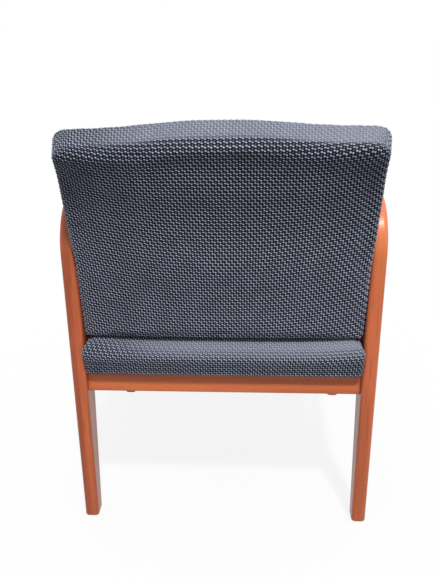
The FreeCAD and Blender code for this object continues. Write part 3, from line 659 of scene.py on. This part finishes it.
def moulded_plastic():
    """Dark floor glides, scuffed paler where they slide."""
    finish = Finish("scuffed_nylon")
    place = finish.place()
    _, _, z = finish.split(place)
    speckle = finish.noise(place, scale=900.0)
    sliding = 1.0 - z.step(0.0, SCUFF_HEIGHT)
    scuff = finish.noise(place, scale=160.0, detail=4.0).step(0.45, 0.65) * sliding
    finish.surface(
        {
            "Base Color": finish.mixed(scuff, opaque(NYLON), opaque(SCUFFED_NYLON)),
            "Roughness": 0.5 + 0.2 * speckle + 0.15 * scuff,
            "Normal": finish.bump(speckle, distance=0.0002, strength=0.5),
        }
    )
    return finish.material


DOT_SPACING = 0.0032
DUST_CLOTH = (0.006, 0.006, 0.007)
DUST_CLOTH_FIBRE = (0.035, 0.035, 0.038)
DUST_CLOTH_DOT = (0.004, 0.004, 0.004)


def dust_cloth():
    """Black non-woven cloth with a pressed dot pattern."""
    finish = Finish("black_dust_cloth")
    across, along, _ = finish.split(finish.cloth_place())
    turn = 2.0 * math.pi / DOT_SPACING
    dots = (((across + along) * turn).cosine() * ((across - along) * turn).cosine()).step(0.2, 0.8)
    fibre = finish.noise(finish.join(across, along, 0.0), scale=600.0, detail=4.0, roughness=0.7)
    colour = finish.mixed(fibre.step(0.3, 0.75), opaque(DUST_CLOTH), opaque(DUST_CLOTH_FIBRE))
    finish.surface(
        {
            "Base Color": finish.mixed(dots * 0.5, colour, opaque(DUST_CLOTH_DOT)),
            "Roughness": 0.75 - 0.25 * dots,
            "Normal": finish.bump(fibre * 0.6 - dots * 0.6, distance=0.0004, strength=0.8),
        }
    )
    return finish.material


def cover_with(names, material):
    """Give the named pieces of the frame one finish."""
    for name in names:
        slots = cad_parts[name].data.materials
        slots.clear()
        slots.append(material)


def at_corners(piece):
    """The names of a piece that each corner of the chair has."""
    return [f"{end}_{piece}_{side}" for end in ENDS for side in SIDES]


# Padded forms


ROUND_STEPS = np.radians([15.0, 30.0, 45.0])


def edge_lines(half, radius, step):
    """Grid lines across a side: even on the flat part and closer round its two edges."""
    flat = half - radius
    count = max(2, round(2.0 * flat / step))
    ends = flat + radius * np.tan(ROUND_STEPS)
    return np.concatenate([-ends[::-1], np.linspace(-flat, flat, count + 1), ends])


def rounded_corners(a, b, half_a, half_b, radius):
    """Draw the square corners of an outline in to a radius."""
    share_a = np.clip((np.abs(a) - (half_a - radius)) / radius, 0.0, 1.0)
    share_b = np.clip((np.abs(b) - (half_b - radius)) / radius, 0.0, 1.0)
    in_a = radius * share_a * (1.0 - np.sqrt(1.0 - share_b**2 / 2.0))
    in_b = radius * share_b * (1.0 - np.sqrt(1.0 - share_a**2 / 2.0))
    return a - np.sign(a) * in_a, b - np.sign(b) * in_b


class PaddedForm:
    """A closed box of quads with rounded edges, and the flat cloth that covers it."""

    def __init__(self, halves, radius, step, top_axis):
        self.halves = np.array(halves)
        self.top_axis = top_axis
        self.lines = [edge_lines(half, radius, step) for half in halves]
        self.numbers = {}
        self.keys = []
        self.quads = []
        self.sides = []
        for axis in range(3):
            self.add_sides(axis)
        lattice = np.array(self.keys)
        box = np.stack([self.lines[axis][lattice[:, axis]] for axis in range(3)], axis=1)
        inner = np.clip(box, radius - self.halves, self.halves - radius)
        out = box - inner
        self.points = inner + radius * out / np.linalg.norm(out, axis=1)[:, None]
        self.lattice = lattice

    def vertex(self, key):
        if key not in self.numbers:
            self.numbers[key] = len(self.keys)
            self.keys.append(key)
        return self.numbers[key]

    def add_sides(self, axis):
        first, second = (axis + 1) % 3, (axis + 2) % 3
        for end in (0, len(self.lines[axis]) - 1):
            for i in range(len(self.lines[first]) - 1):
                for j in range(len(self.lines[second]) - 1):
                    loop = [(i, j), (i + 1, j), (i + 1, j + 1), (i, j + 1)]
                    if end == 0:
                        loop.reverse()
                    quad = []
                    for p, q in loop:
                        key = [0, 0, 0]
                        key[axis], key[first], key[second] = end, p, q
                        quad.append(self.vertex(tuple(key)))
                    self.quads.append(quad)
                    self.sides.append((axis, end > 0))

    def measured(self, place, axis, fixed):
        """Cloth lengths from the middle along one lattice line of the finished form."""
        keys = []
        for number in range(len(self.lines[axis])):
            key = list(fixed)
            key[axis] = number
            keys.append(self.numbers[tuple(key)])
        steps = np.linalg.norm(np.diff(place[keys], axis=0), axis=1)
        along = np.concatenate([[0.0], np.cumsum(steps)])
        return along - along[len(along) // 2]

    def cloth_places(self, place):
        """Flat cloth places of every face corner: the main side, flaps folded from it, the far side."""
        top = self.top_axis
        first, second = [axis for axis in range(3) if axis != top]
        middle = [len(line) // 2 for line in self.lines]
        last = [len(line) - 1 for line in self.lines]
        over = list(middle)
        over[top] = last[top]
        beside = list(middle)
        beside[second] = last[second]
        arcs = [None, None, None]
        arcs[first] = self.measured(place, first, over)
        arcs[second] = self.measured(place, second, over)
        arcs[top] = self.measured(place, top, beside)
        arc = np.stack([arcs[axis][self.lattice[:, axis]] for axis in range(3)], axis=1)
        reach = [(arcs[axis][0], arcs[axis][-1]) for axis in range(3)]
        places = np.zeros((len(self.quads), 4, 2))
        for number, (quad, (axis, high)) in enumerate(zip(self.quads, self.sides)):
            at = arc[quad]
            fold = reach[top][1] - at[:, top]
            edge = reach[axis][1] + fold if high else reach[axis][0] - fold
            places[number, :, 0] = edge if axis == first else at[:, first]
            places[number, :, 1] = edge if axis == second else at[:, second]
        return places.reshape(-1, 2)

    def on_low_side(self, axis):
        """Whether each vertex lies on the low side across an axis, its rounded edge included."""
        return self.lattice[:, axis] == 0


def new_piece(name, points, faces, material, smooth=True):
    mesh = bpy.data.meshes.new(name)
    mesh.from_pydata([tuple(point) for point in points], [], [list(face) for face in faces])
    mesh.validate()
    if smooth:
        mesh.shade_smooth()
    mesh.materials.append(material)
    piece = bpy.data.objects.new(name, mesh)
    bpy.context.scene.collection.objects.link(piece)
    return piece


def set_cloth_map(piece, places):
    layer = piece.data.uv_layers.new(name="cloth")
    layer.uv.foreach_set("vector", np.asarray(places, np.float32).ravel())


def read(items, name, width, kind=np.float32):
    """One value of every item, as rows of an array."""
    flat = np.zeros(len(items) * width, kind)
    items.foreach_get(name, flat)
    return flat.reshape(-1, width)


def points_of(mesh):
    return read(mesh.vertices, "co", 3).astype(float)


def normals_of(mesh):
    return read(mesh.vertex_normals, "vector", 3).astype(float)


def set_points(mesh, points):
    mesh.vertices.foreach_set("co", np.asarray(points, np.float32).ravel())
    mesh.update()


def swell(piece, cushions, limit, held):
    """Let the cover settle over its filling as cloth under pressure, bulging by at most limit."""
    rest = points_of(piece.data)
    normals = normals_of(piece.data)
    group = piece.vertex_groups.new(name="held")
    group.add([int(number) for number in np.flatnonzero(held)], 1.0, "REPLACE")
    cloth = piece.modifiers.new("Swell", "CLOTH")
    settings = cloth.settings
    settings.quality = 6
    settings.mass = 0.3
    settings.tension_stiffness = 25.0
    settings.compression_stiffness = 25.0
    settings.shear_stiffness = 12.0
    settings.bending_stiffness = 1.5
    settings.use_pressure = True
    settings.uniform_pressure_force = cushions.pressure
    settings.vertex_group_mass = group.name
    settings.effector_weights.gravity = 0.0
    cloth.collision_settings.use_collision = False
    cloth.collision_settings.use_self_collision = False
    cloth.point_cache.frame_start = 1
    cloth.point_cache.frame_end = cushions.frames
    scene = bpy.context.scene
    for number in range(1, cushions.frames + 1):
        scene.frame_set(number)
    settled = piece.evaluated_get(bpy.context.evaluated_depsgraph_get())
    moved = points_of(settled.data) - rest
    piece.modifiers.remove(cloth)
    piece.vertex_groups.remove(group)
    scene.frame_set(1)
    outward = np.clip(np.sum(moved * normals, axis=1), 0.0, None)
    return rest + normals * (limit * np.tanh(outward / limit))[:, None]


COVER_SUBDIVISIONS = 2


def subdivide(piece):
    """Replace a cover's mesh by its subdivision surface."""
    modifier = piece.modifiers.new("Smooth", "SUBSURF")
    modifier.levels = COVER_SUBDIVISIONS
    modifier.render_levels = COVER_SUBDIVISIONS
    graph = bpy.context.evaluated_depsgraph_get()
    mesh = bpy.data.meshes.new_from_object(piece.evaluated_get(graph))
    piece.modifiers.clear()
    old = piece.data
    piece.data = mesh
    bpy.data.meshes.remove(old)
    mesh.name = piece.name
    mesh.shade_smooth()


# How far apart two cloth places at one point have to lie for a seam, and how many steps the weave fades in
SEAM_GAP = 0.00001
SEAM_STEPS = 3


def raise_weave(piece, cloth):
    """Raise the cover's mesh by the weave, fading out beside the seams where two cloth places meet."""
    mesh = piece.data
    corners = read(mesh.loops, "vertex_index", 1, np.int32).ravel()
    places = read(mesh.uv_layers["cloth"].uv, "vector", 2).astype(float)
    count = len(mesh.vertices)
    at = np.zeros((count, 2))
    at[corners] = places
    apart = np.zeros(count)
    np.maximum.at(apart, corners, np.abs(places - at[corners]).max(axis=1))
    free = (apart < SEAM_GAP).astype(float)
    edges = read(mesh.edges, "vertices", 2, np.int32)
    for _ in range(SEAM_STEPS):
        low = np.minimum(free[edges[:, 0]], free[edges[:, 1]])
        nearby = np.ones(count)
        np.minimum.at(nearby, edges[:, 0], low)
        np.minimum.at(nearby, edges[:, 1], low)
        free = 0.5 * free + 0.5 * nearby
    height = np.clip(weave(at[:, 0], at[:, 1], cloth, np.cos), 0.0, 1.0) * free
    set_points(mesh, points_of(mesh) + normals_of(mesh) * (cloth.relief * (height - 0.5))[:, None])


def smooth_step(value, low, high):
    """0 below low and 1 above high, with a smooth rise between."""
    share = np.clip((value - low) / (high - low), 0.0, 1.0)
    return share * share * (3.0 - 2.0 * share)


def own_frame(tilt, y, z):
    """The tilted frame that a cushion is drawn in."""
    return Matrix.Translation((0.0, y, z)) @ Matrix.Rotation(-tilt, 4, "X")


def moved_by(matrix, points):
    turned = np.array(matrix)
    return points @ turned[:3, :3].T + turned[:3, 3]


# Air between a finished cushion and the side frames, in metres
LEG_AIR = 0.0006


def beside_legs(points):
    """Hold a cushion's points clear of the side frames where it lies between them."""
    y, z = points[:, 1], points[:, 2]
    legs = (z < BEND_LEVEL + BEND_RADIUS) & (y < REAR_FACE) & (y > FRONT_FACE)
    limit = HALF_INSIDE - LEG_AIR
    held = points.copy()
    held[legs, 0] = np.clip(points[legs, 0], -limit, limit)
    return held


# Pieces


def seat_frame(cushions):
    """The y and z of the seat's own frame, which stands on the middle of the rear rail's top."""
    middle = (REAR_RAIL[0].y + REAR_RAIL[1].y) / 2.0
    level = REAR_RAIL[1].z - math.tan(cushions.seat_slope) * (REAR_RAIL[1].y - REAR_RAIL[0].y) / 2.0
    return middle, level


# Air beside a cushion's form, and the radius of an edge that stays as good as square, in metres
SIDE_AIR = 0.0008
SQUARE_EDGE = 0.001

# Sizes of the seat, in metres
SEAT_THICKNESS = 0.050
SEAT_EDGE = 0.013
SEAT_CORNER = 0.012
SEAT_REAR_ROLL = 0.016
SEAT_REAR_HEIGHT = 0.055
SEAT_FRONT_RISE = 0.003
SEAT_CROWN = 0.012
SEAT_REAR_CORNER_RISE = 0.011
SEAT_FRONT_BOW = 0.008
SEAT_TUCK = 0.011
SEAT_SAG = 0.003
SEAT_SPREAD = 0.0060
SEAT_LEFT_SPREAD = 0.0012
SEAT_TOP_SPREAD = 0.004
SEAT_SWELL = 0.005
SEAT_RECESS = 0.0026
SEAT_RECESS_EDGE = 0.047

# How far behind the rear rail's middle the seat rests flat, and where its sag begins and is full
SEAT_RESTS_TO = 0.016
SEAT_SAGS = (0.017, 0.026)

# Shares: the lowest part of the form, pressed to half by the board, how far the sides draw in, and the fill
SEAT_PRESSED = 0.32
SEAT_WAIST = 0.006

# How much finer the weave lies on the seat, across and from front to rear, than on the stretched back
SEAT_CLOTH_DRAWN = (1.06, 1.13)


def seat_places(x, y, z, half_width, half_depth, centre):
    """The seat's points in its own frame: crowned, bowed in front, spread and tucked in behind the legs."""
    wide = x / half_width
    deep = y / half_depth
    pressed = (0.0, SEAT_PRESSED / 2.0, 1.0)
    share = np.interp(z / SEAT_THICKNESS + 0.5, (0.0, SEAT_PRESSED, 1.0), pressed)
    behind = smooth_step(deep, 0.93, 1.0)
    in_front = smooth_step(-deep, 0.2, 1.0)
    thickness = SEAT_REAR_HEIGHT + SEAT_FRONT_RISE * smooth_step(-deep, -1.0, 0.2)
    crown = SEAT_CROWN * (1.0 - wide**2) * smooth_step(-deep, -0.95, -0.2)
    crown = crown + SEAT_REAR_CORNER_RISE * wide**4 * smooth_step(deep, 0.3, 0.85)
    tuck = SEAT_TUCK * behind * np.clip(1.0 - share / 0.75, 0.0, 1.0)
    sag = SEAT_SAG * smooth_step(y + centre, *SEAT_SAGS) * (1.0 - share)
    spread = SEAT_SPREAD + SEAT_LEFT_SPREAD * np.sign(x) + SEAT_TOP_SPREAD * smooth_step(share, 0.5, 0.9)
    across = x * (1.0 - SEAT_WAIST * (1.0 - deep**2)) + np.sign(x) * (behind * spread) * np.abs(wide)
    along = y + centre - SEAT_FRONT_BOW * (1.0 - wide**2) * in_front - tuck
    return np.stack([across, along, share * (thickness + crown) - sag], axis=1)


def make_seat(chair, cloth_material):
    """The seat: a cover pulled over crowned foam and a board, flat where it rests on the rails."""
    cushions = chair.cushions
    middle, level = seat_frame(cushions)
    slope = math.cos(cushions.seat_slope)
    rear = (REAR_FACE + cushions.seat_overhang - middle) / slope
    front = (FRONT_FACE - middle) / slope
    half_width = HALF_INSIDE - SIDE_AIR
    half_depth = (rear - front) / 2.0
    half_height = SEAT_THICKNESS / 2.0
    form = PaddedForm((half_width, half_depth, half_height), SEAT_EDGE, cushions.mesh_step, 2)
    x, y, z = form.points.T
    x, y = rounded_corners(x, y, half_width, half_depth, SEAT_CORNER)
    roll = np.where((y > 0.0) & (z > 0.0), SEAT_REAR_ROLL, SQUARE_EDGE)
    y, z = rounded_corners(y, z, half_depth, half_height, roll)
    place = seat_places(x, y, z, half_width, half_depth, (rear + front) / 2.0)
    piece = new_piece("seat_cushion", place, form.quads, cloth_material)
    set_cloth_map(piece, form.cloth_places(place) * SEAT_CLOTH_DRAWN)
    under = form.on_low_side(2)
    place = swell(piece, cushions, SEAT_SWELL, under)
    rests = place[:, 1] < SEAT_RESTS_TO
    place[rests, 2] = np.maximum(place[rests, 2], 0.0)
    inner = (np.abs(x) < half_width - SEAT_RECESS_EDGE) & (np.abs(y) < half_depth - SEAT_RECESS_EDGE)
    place[under & inner, 2] = SEAT_RECESS
    matrix = own_frame(cushions.seat_slope, middle, level)
    finish_cushion(piece, beside_legs(moved_by(matrix, place)), chair.cloth, "seat")


# Sizes of the back, in metres
BACK_HEIGHT = 0.401
BACK_THICKNESS = 0.064
BACK_EDGE = 0.010
BACK_TOP_CORNER = 0.029
BACK_LOW_CORNER = 0.008
BACK_TOP_ROLL = 0.006
BACK_MIDDLE_ROLL = 0.015
BACK_LOW_LIFT = 0.004
BACK_CREST = 0.014
BACK_CREST_SLOPE = (0.030, 0.190)
BACK_DROOP = 0.005
BACK_REAR_PAD = 0.007
BACK_LOW_CROWN = 0.002
BACK_HIGH_CROWN = 0.011
BACK_FRONT_CROWN = 0.005
BACK_FRONT_THINNING = 0.007
LUMBAR_PAD = 0.008
LUMBAR_HEIGHT = 0.115
LUMBAR_REACH = 0.10
BACK_HELD_EDGE = 0.012
BACK_SWELL = 0.004

# Shares: how far the back widens above the arms, its rear draws in and its front widens on top, where
# its held rim begins, and its fill
BACK_FLARE = 0.016
BACK_REAR_DRAWN_IN = 0.012
BACK_FRONT_FLARE = 0.025
BACK_RIM = 0.95

# How the bow of the cloth's rows grows to the side edges, and the rounds in which the curl settles
BOW_POWER = 2.3
BOW_REACH = 1.25
CURL_ROUNDS = 8


def back_places(x, y, z, wide, cushions):
    """The back's points in its own frame: crested, flared, padded on both faces and curled at the top."""
    rearward = y / BACK_THICKNESS + 0.5
    up = z + BACK_HEIGHT / 2.0
    up = up + BACK_LOW_LIFT * (1.0 - smooth_step(up, 0.0, 0.06))
    level_top = smooth_step(np.abs(x), *BACK_CREST_SLOPE)
    crest = BACK_CREST * (1.0 - level_top) * smooth_step(up, 0.22, BACK_HEIGHT)
    droop = BACK_DROOP * wide * smooth_step(up, 0.30, BACK_HEIGHT) * (0.6 + 0.4 * rearward)
    up = up + crest - droop
    flare = BACK_FLARE * smooth_step(up, 0.14, 0.22)
    flare = flare - BACK_REAR_DRAWN_IN * smooth_step(up, 0.27, 0.35) * rearward
    flare = flare + BACK_FRONT_FLARE * smooth_step(up, 0.27, 0.36) * (1.0 - rearward)
    full = BACK_LOW_CROWN + BACK_HIGH_CROWN * smooth_step(up, 0.06, 0.19)
    full = full * (1.0 - 0.9 * smooth_step(up, 0.30, BACK_HEIGHT))
    rear_crown = BACK_REAR_PAD + full * (1.0 - wide**2)
    lumbar = LUMBAR_PAD * np.exp(-(((up - LUMBAR_HEIGHT) / LUMBAR_REACH) ** 2))
    front_crown = BACK_FRONT_CROWN * (1.0 - wide**2) + lumbar
    front_crown = front_crown - BACK_FRONT_THINNING * smooth_step(up, 0.05, 0.26)
    depth = rear_crown * rearward - (BACK_THICKNESS + front_crown) * (1.0 - rearward)
    height = up
    for _ in range(CURL_ROUNDS):
        rise = np.clip(height - cushions.curl_start, 0.0, None)
        back = depth + cushions.curl_radius - np.sqrt(cushions.curl_radius**2 - rise**2)
        height = (up - back * math.sin(cushions.top_lean)) / math.cos(cushions.top_lean)
    return np.stack([x * (1.0 + flare), back, height], axis=1)


def make_back(chair, cloth_material):
    """The back: a cover over a padded frame, curled rearward and crested along the top."""
    cushions = chair.cushions
    half_width = HALF_INSIDE - SIDE_AIR
    half_thickness = BACK_THICKNESS / 2.0
    half_height = BACK_HEIGHT / 2.0
    form = PaddedForm((half_width, half_thickness, half_height), BACK_EDGE, cushions.mesh_step, 1)
    x, y, z = form.points.T
    corner = np.where(z > 0.0, BACK_TOP_CORNER, BACK_LOW_CORNER)
    x, z = rounded_corners(x, z, half_width, half_height, corner)
    wide = x / half_width
    rolled = BACK_TOP_ROLL + BACK_MIDDLE_ROLL * (1.0 - wide**2)
    roll = np.where((y > 0.0) & (z > 0.0), rolled, SQUARE_EDGE)
    y, z = rounded_corners(y, z, half_thickness, half_height, roll)
    place = back_places(x, y, z, wide, cushions)
    piece = new_piece("back_cushion", place, form.quads, cloth_material)
    places = form.cloth_places(place)
    edge = np.clip(np.abs(places[:, 0]) / half_width, 0.0, BOW_REACH)
    places[:, 1] -= chair.cloth.bow * edge**BOW_POWER
    # The cover's main side faces rearward, so its cloth runs the other way across
    places[:, 0] *= -1.0
    set_cloth_map(piece, places)
    rim = (np.abs(wide) > BACK_RIM) | (np.abs(z) > half_height - BACK_HELD_EDGE)
    place = swell(piece, cushions, BACK_SWELL, form.on_low_side(1) & rim)
    matrix = own_frame(cushions.recline, REAR_FACE - cushions.back_setback, cushions.back_bottom)
    finish_cushion(piece, beside_legs(moved_by(matrix, place)), chair.cloth, "back")


def finish_cushion(piece, points, cloth, name):
    """Place a settled cushion, raise its weave and enter it in the frame."""
    set_points(piece.data, points)
    subdivide(piece)
    raise_weave(piece, cloth)
    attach(piece, "root")
    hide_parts(*FABRIC_NODES[name])


# Sizes of the dust cover's sheet in metres, and its strips each way
SHEET_THICKNESS = 0.0006
SHEET_LEVEL = 0.0014
SHEET_SAG = 0.0008
SHEET_RIPPLE = 0.00018
SHEET_STRIPS = 40


def make_dust_cover(cushions, material):
    """A thin black sheet stapled under the seat, sagging a little between its edges."""
    low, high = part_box("seat_dust_cover")
    middle, level = seat_frame(cushions)
    slope = math.cos(cushions.seat_slope)
    half = high.x
    front, rear = (low.y - middle) / slope, (high.y - middle) / slope
    lines = SHEET_STRIPS + 1
    across, along = np.meshgrid(np.linspace(-half, half, lines), np.linspace(front, rear, lines))
    wide = across / half
    deep = (along - (front + rear) / 2.0) / ((rear - front) / 2.0)
    free = (1.0 - wide**4) * (1.0 - deep**4)
    ripple = SHEET_RIPPLE * np.sin(across * 95.0 + 1.3) * np.sin(along * 71.0)
    height = SHEET_LEVEL + (ripple - SHEET_SAG) * free
    points = np.stack([across.ravel(), along.ravel(), height.ravel()], axis=1)
    first = np.arange(lines * lines).reshape(lines, lines)[:-1, :-1].ravel()
    faces = np.stack([first, first + lines, first + lines + 1, first + 1], axis=1)
    matrix = own_frame(cushions.seat_slope, middle, level)
    piece = new_piece("dust_cover_sheet", moved_by(matrix, points), faces.tolist(), material)
    set_cloth_map(piece, points[faces.ravel(), :2])
    thick = piece.modifiers.new("Thickness", "SOLIDIFY")
    thick.thickness = SHEET_THICKNESS
    thick.offset = 0.0
    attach(piece, "root")
    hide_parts("seat_dust_cover")
    rear - front


# Stage


WHITE = (1.0, 1.0, 1.0)
SKY_COLOUR = (0.97, 0.985, 1.0)
KEY_COLOUR = (1.0, 0.985, 0.96)
KEY_WIDTH = math.radians(5.0)
KEY_DISTANCE = 3.0

# The floor's half width in metres, the tone of its mottle and the share of plain white in how it looks
FLOOR_REACH = 30.0
FLOOR_MOTTLE = 0.985
FLOOR_GLOW = 0.86

# The camera's place in metres, from the chair's middle, the legs' rear faces and the floor, and its angles
CAMERA_BESIDE = -0.04867
CAMERA_BEHIND = 1.16384
CAMERA_HEIGHT = 0.993
CAMERA_HEADING = math.radians(182.906)
CAMERA_PITCH = math.radians(22.133)
CAMERA_ROLL = math.radians(0.640)
SENSOR_WIDTH = 36.0


def lay_floor(studio):
    """A pale floor that takes the chair's shadow, and throws little light back on the chair."""
    finish = Finish("studio_floor")
    mottle = finish.noise(finish.place(), scale=3.0, detail=2.0)
    pale = opaque(studio.floor_colour)
    colour = finish.mixed(mottle, opaque(studio.floor_colour, FLOOR_MOTTLE), pale)
    finish.surface({"Base Color": colour, "Roughness": 0.9})
    glow = finish.value("ShaderNodeEmission", None, {"Color": opaque(WHITE), "Strength": 1.0})
    seen = finish.value("ShaderNodeMixShader", None, {0: FLOOR_GLOW, 1: finish.shaded(), 2: glow})
    dim = finish.value("ShaderNodeBsdfDiffuse", None, {"Color": opaque(WHITE, studio.bounce)})
    finish.show(finish.value("ShaderNodeMixShader", None, {0: finish.shown(), 1: dim, 2: seen}))
    far = FLOOR_REACH
    corners = [(-far, -far, 0.0), (far, -far, 0.0), (far, far, 0.0), (-far, far, 0.0)]
    floor = new_piece("studio_floor", corners, [(0, 1, 2, 3)], finish.material, smooth=False)


def light_sky(studio):
    """An even sky that lights the chair, and shows white behind it and in its gloss."""
    world = bpy.data.worlds.new("even_sky")
    world.use_nodes = True
    nodes = Nodes(world.node_tree)
    even = nodes.value("ShaderNodeBackground", None, {"Color": opaque(SKY_COLOUR), "Strength": studio.sky})
    white = nodes.value("ShaderNodeBackground", None, {"Color": opaque(WHITE)})
    both = nodes.value("ShaderNodeMixShader", None, {0: nodes.shown(), 1: even, 2: white})
    nodes.add("ShaderNodeOutputWorld", None, {"Surface": both})
    bpy.context.scene.world = world


def hang_key(studio):
    """The key lamp hangs high behind the chair, a little to the sitter's right."""
    lamp = bpy.data.lights.new("key_lamp", "SUN")
    lamp.energy = studio.key
    lamp.angle = KEY_WIDTH
    lamp.color = KEY_COLOUR
    key = bpy.data.objects.new("key_lamp", lamp)
    bpy.context.scene.collection.objects.link(key)
    side = -studio.key_side
    height = studio.key_height
    level = math.cos(height)
    towards = Vector((math.sin(side) * level, math.cos(side) * level, math.sin(height)))
    key.rotation_mode = "QUATERNION"
    key.rotation_quaternion = towards.to_track_quat("Z", "Y")
    key.location = towards * KEY_DISTANCE


def place_camera(studio):
    """The camera stands behind the chair, above it and a little to the sitter's right."""
    data = bpy.data.cameras.new("photo_camera")
    data.sensor_width = SENSOR_WIDTH
    data.lens = studio.lens
    camera = bpy.data.objects.new("photo_camera", data)
    bpy.context.scene.collection.objects.link(camera)
    camera.matrix_world = (
        Matrix.Translation((CAMERA_BESIDE, REAR_FACE + CAMERA_BEHIND, CAMERA_HEIGHT))
        @ Matrix.Rotation(CAMERA_HEADING, 4, "Z")
        @ Matrix.Rotation(math.pi / 2.0 - CAMERA_PITCH, 4, "X")
        @ Matrix.Rotation(-CAMERA_ROLL, 4, "Z")
    )
    bpy.context.scene.camera = camera


# Operators


class CHAIR_OT_stain_frame(bpy.types.Operator):
    """Stain and lacquer the legs, arms, rails and plugs"""

    bl_idname = "chair.stain_frame"
    bl_label = "Stain the frame"

    def execute(self, context):
        wood = context.scene.chair.wood
        seed = 0
        for side in SIDES:
            seed += 1
            bent = [f"{end}_{piece}_{side}" for end in ENDS for piece in ("leg", "arm_bend")]
            frame_wood = stained_wood(wood, f"stained_side_frame_{side}", "frame", seed)
            cover_with([*bent, f"arm_{side}"], frame_wood)
            cover_with([f"side_rail_{side}"], stained_wood(wood, f"stained_side_rail_{side}", "y", seed))
        for end in ENDS:
            seed += 1
            rail_wood = stained_wood(wood, f"stained_{end}_rail", "x", seed, CROSS_RAIL_PAINTED_LIGHT)
            cover_with([f"{end}_rail"], rail_wood)
        cover_with(["bolt_plugs"], stained_wood(wood, "stained_plugs", "y", seed + 1))
        return {"FINISHED"}


class CHAIR_OT_finish_inside(bpy.types.Operator):
    """Give the hidden wooden pieces bare beech and plywood"""

    bl_idname = "chair.finish_inside"
    bl_label = "Finish the inside wood"

    def execute(self, context):
        rails = ["back_top_rail", "back_bottom_rail", "cross_rail_dowels", "back_frame_dowels"]
        cover_with(at_corners("corner_block") + rails, bare_wood("bare_beech_across", "x"))
        cover_with(["side_rail_dowels", "arm_end_dowels"], bare_wood("bare_beech_along", "y"))
        upright = ["back_stile_left", "back_stile_right", "arm_dowels"]
        cover_with(upright, bare_wood("bare_beech_upright", "frame"))
        cover_with(["seat_board"], layered_board("seat_plywood", "z"))
        cover_with(["back_panel"], layered_board("back_plywood", "y"))
        return {"FINISHED"}


class CHAIR_OT_finish_fittings(bpy.types.Operator):
    """Plate the bolts, nuts, screws and nails and mould the glides"""

    bl_idname = "chair.finish_fittings"
    bl_label = "Finish the fittings"

    def execute(self, context):
        bolts = ["frame_bolts", "frame_barrel_nuts", "back_bolts", "back_inserts", "bolt_washers"]
        screws = ["corner_block_screws", "seat_screws", "glide_nails"]
        cover_with(bolts + screws, plated_steel())
        cover_with(at_corners("glide"), moulded_plastic())
        return {"FINISHED"}


class CHAIR_OT_upholster(bpy.types.Operator):
    """Make the seat and back cushions in their woven covers"""

    bl_idname = "chair.upholster"
    bl_label = "Upholster the seat and back"

    def execute(self, context):
        chair = context.scene.chair
        cloth = woven_cloth(chair.cloth)
        make_seat(chair, cloth)
        make_back(chair, cloth)
        return {"FINISHED"}


class CHAIR_OT_close_seat(bpy.types.Operator):
    """Close the seat's underside with a dust cover"""

    bl_idname = "chair.close_seat"
    bl_label = "Close the seat's underside"

    def execute(self, context):
        make_dust_cover(context.scene.chair.cushions, dust_cloth())
        return {"FINISHED"}


class CHAIR_OT_set_stage(bpy.types.Operator):
    """Lay the floor, light the sky, hang the key lamp and place the camera"""

    bl_idname = "chair.set_stage"
    bl_label = "Set the stage"

    def execute(self, context):
        studio = context.scene.chair.studio
        lay_floor(studio)
        light_sky(studio)
        hang_key(studio)
        place_camera(studio)
        context.scene.view_settings.view_transform = "Standard"
        return {"FINISHED"}


OPERATORS = (
    CHAIR_OT_stain_frame,
    CHAIR_OT_finish_inside,
    CHAIR_OT_finish_fittings,
    CHAIR_OT_upholster,
    CHAIR_OT_close_seat,
    CHAIR_OT_set_stage,
)


class CHAIR_PT_sidebar(bpy.types.Panel):
    """Settings and steps for the chair's looks"""

    bl_idname = "CHAIR_PT_sidebar"
    bl_label = "Visitor chair"
    bl_space_type = "VIEW_3D"
    bl_region_type = "UI"
    bl_category = "Chair"

    def draw(self, context):
        chair = context.scene.chair
        for group in (chair.cloth, chair.wood, chair.cushions, chair.studio):
            box = self.layout.box()
            for name in group.__annotations__:
                box.prop(group, name)
        for operator in OPERATORS:
            self.layout.operator(operator.bl_idname)


CLASSES = (
    ChairCloth,
    ChairWood,
    ChairCushions,
    ChairStudio,
    ChairSettings,
    *OPERATORS,
    CHAIR_PT_sidebar,
)


def register():
    for item in CLASSES:
        bpy.utils.register_class(item)
    bpy.types.Scene.chair = PointerProperty(type=ChairSettings)


def unregister():
    del bpy.types.Scene.chair
    for item in reversed(CLASSES):
        bpy.utils.unregister_class(item)


def main():
    register()
    bpy.ops.chair.stain_frame()
    bpy.ops.chair.finish_inside()
    bpy.ops.chair.finish_fittings()
    bpy.ops.chair.upholster()
    bpy.ops.chair.close_seat()
    bpy.ops.chair.set_stage()


if __name__ == "__main__":
    main()
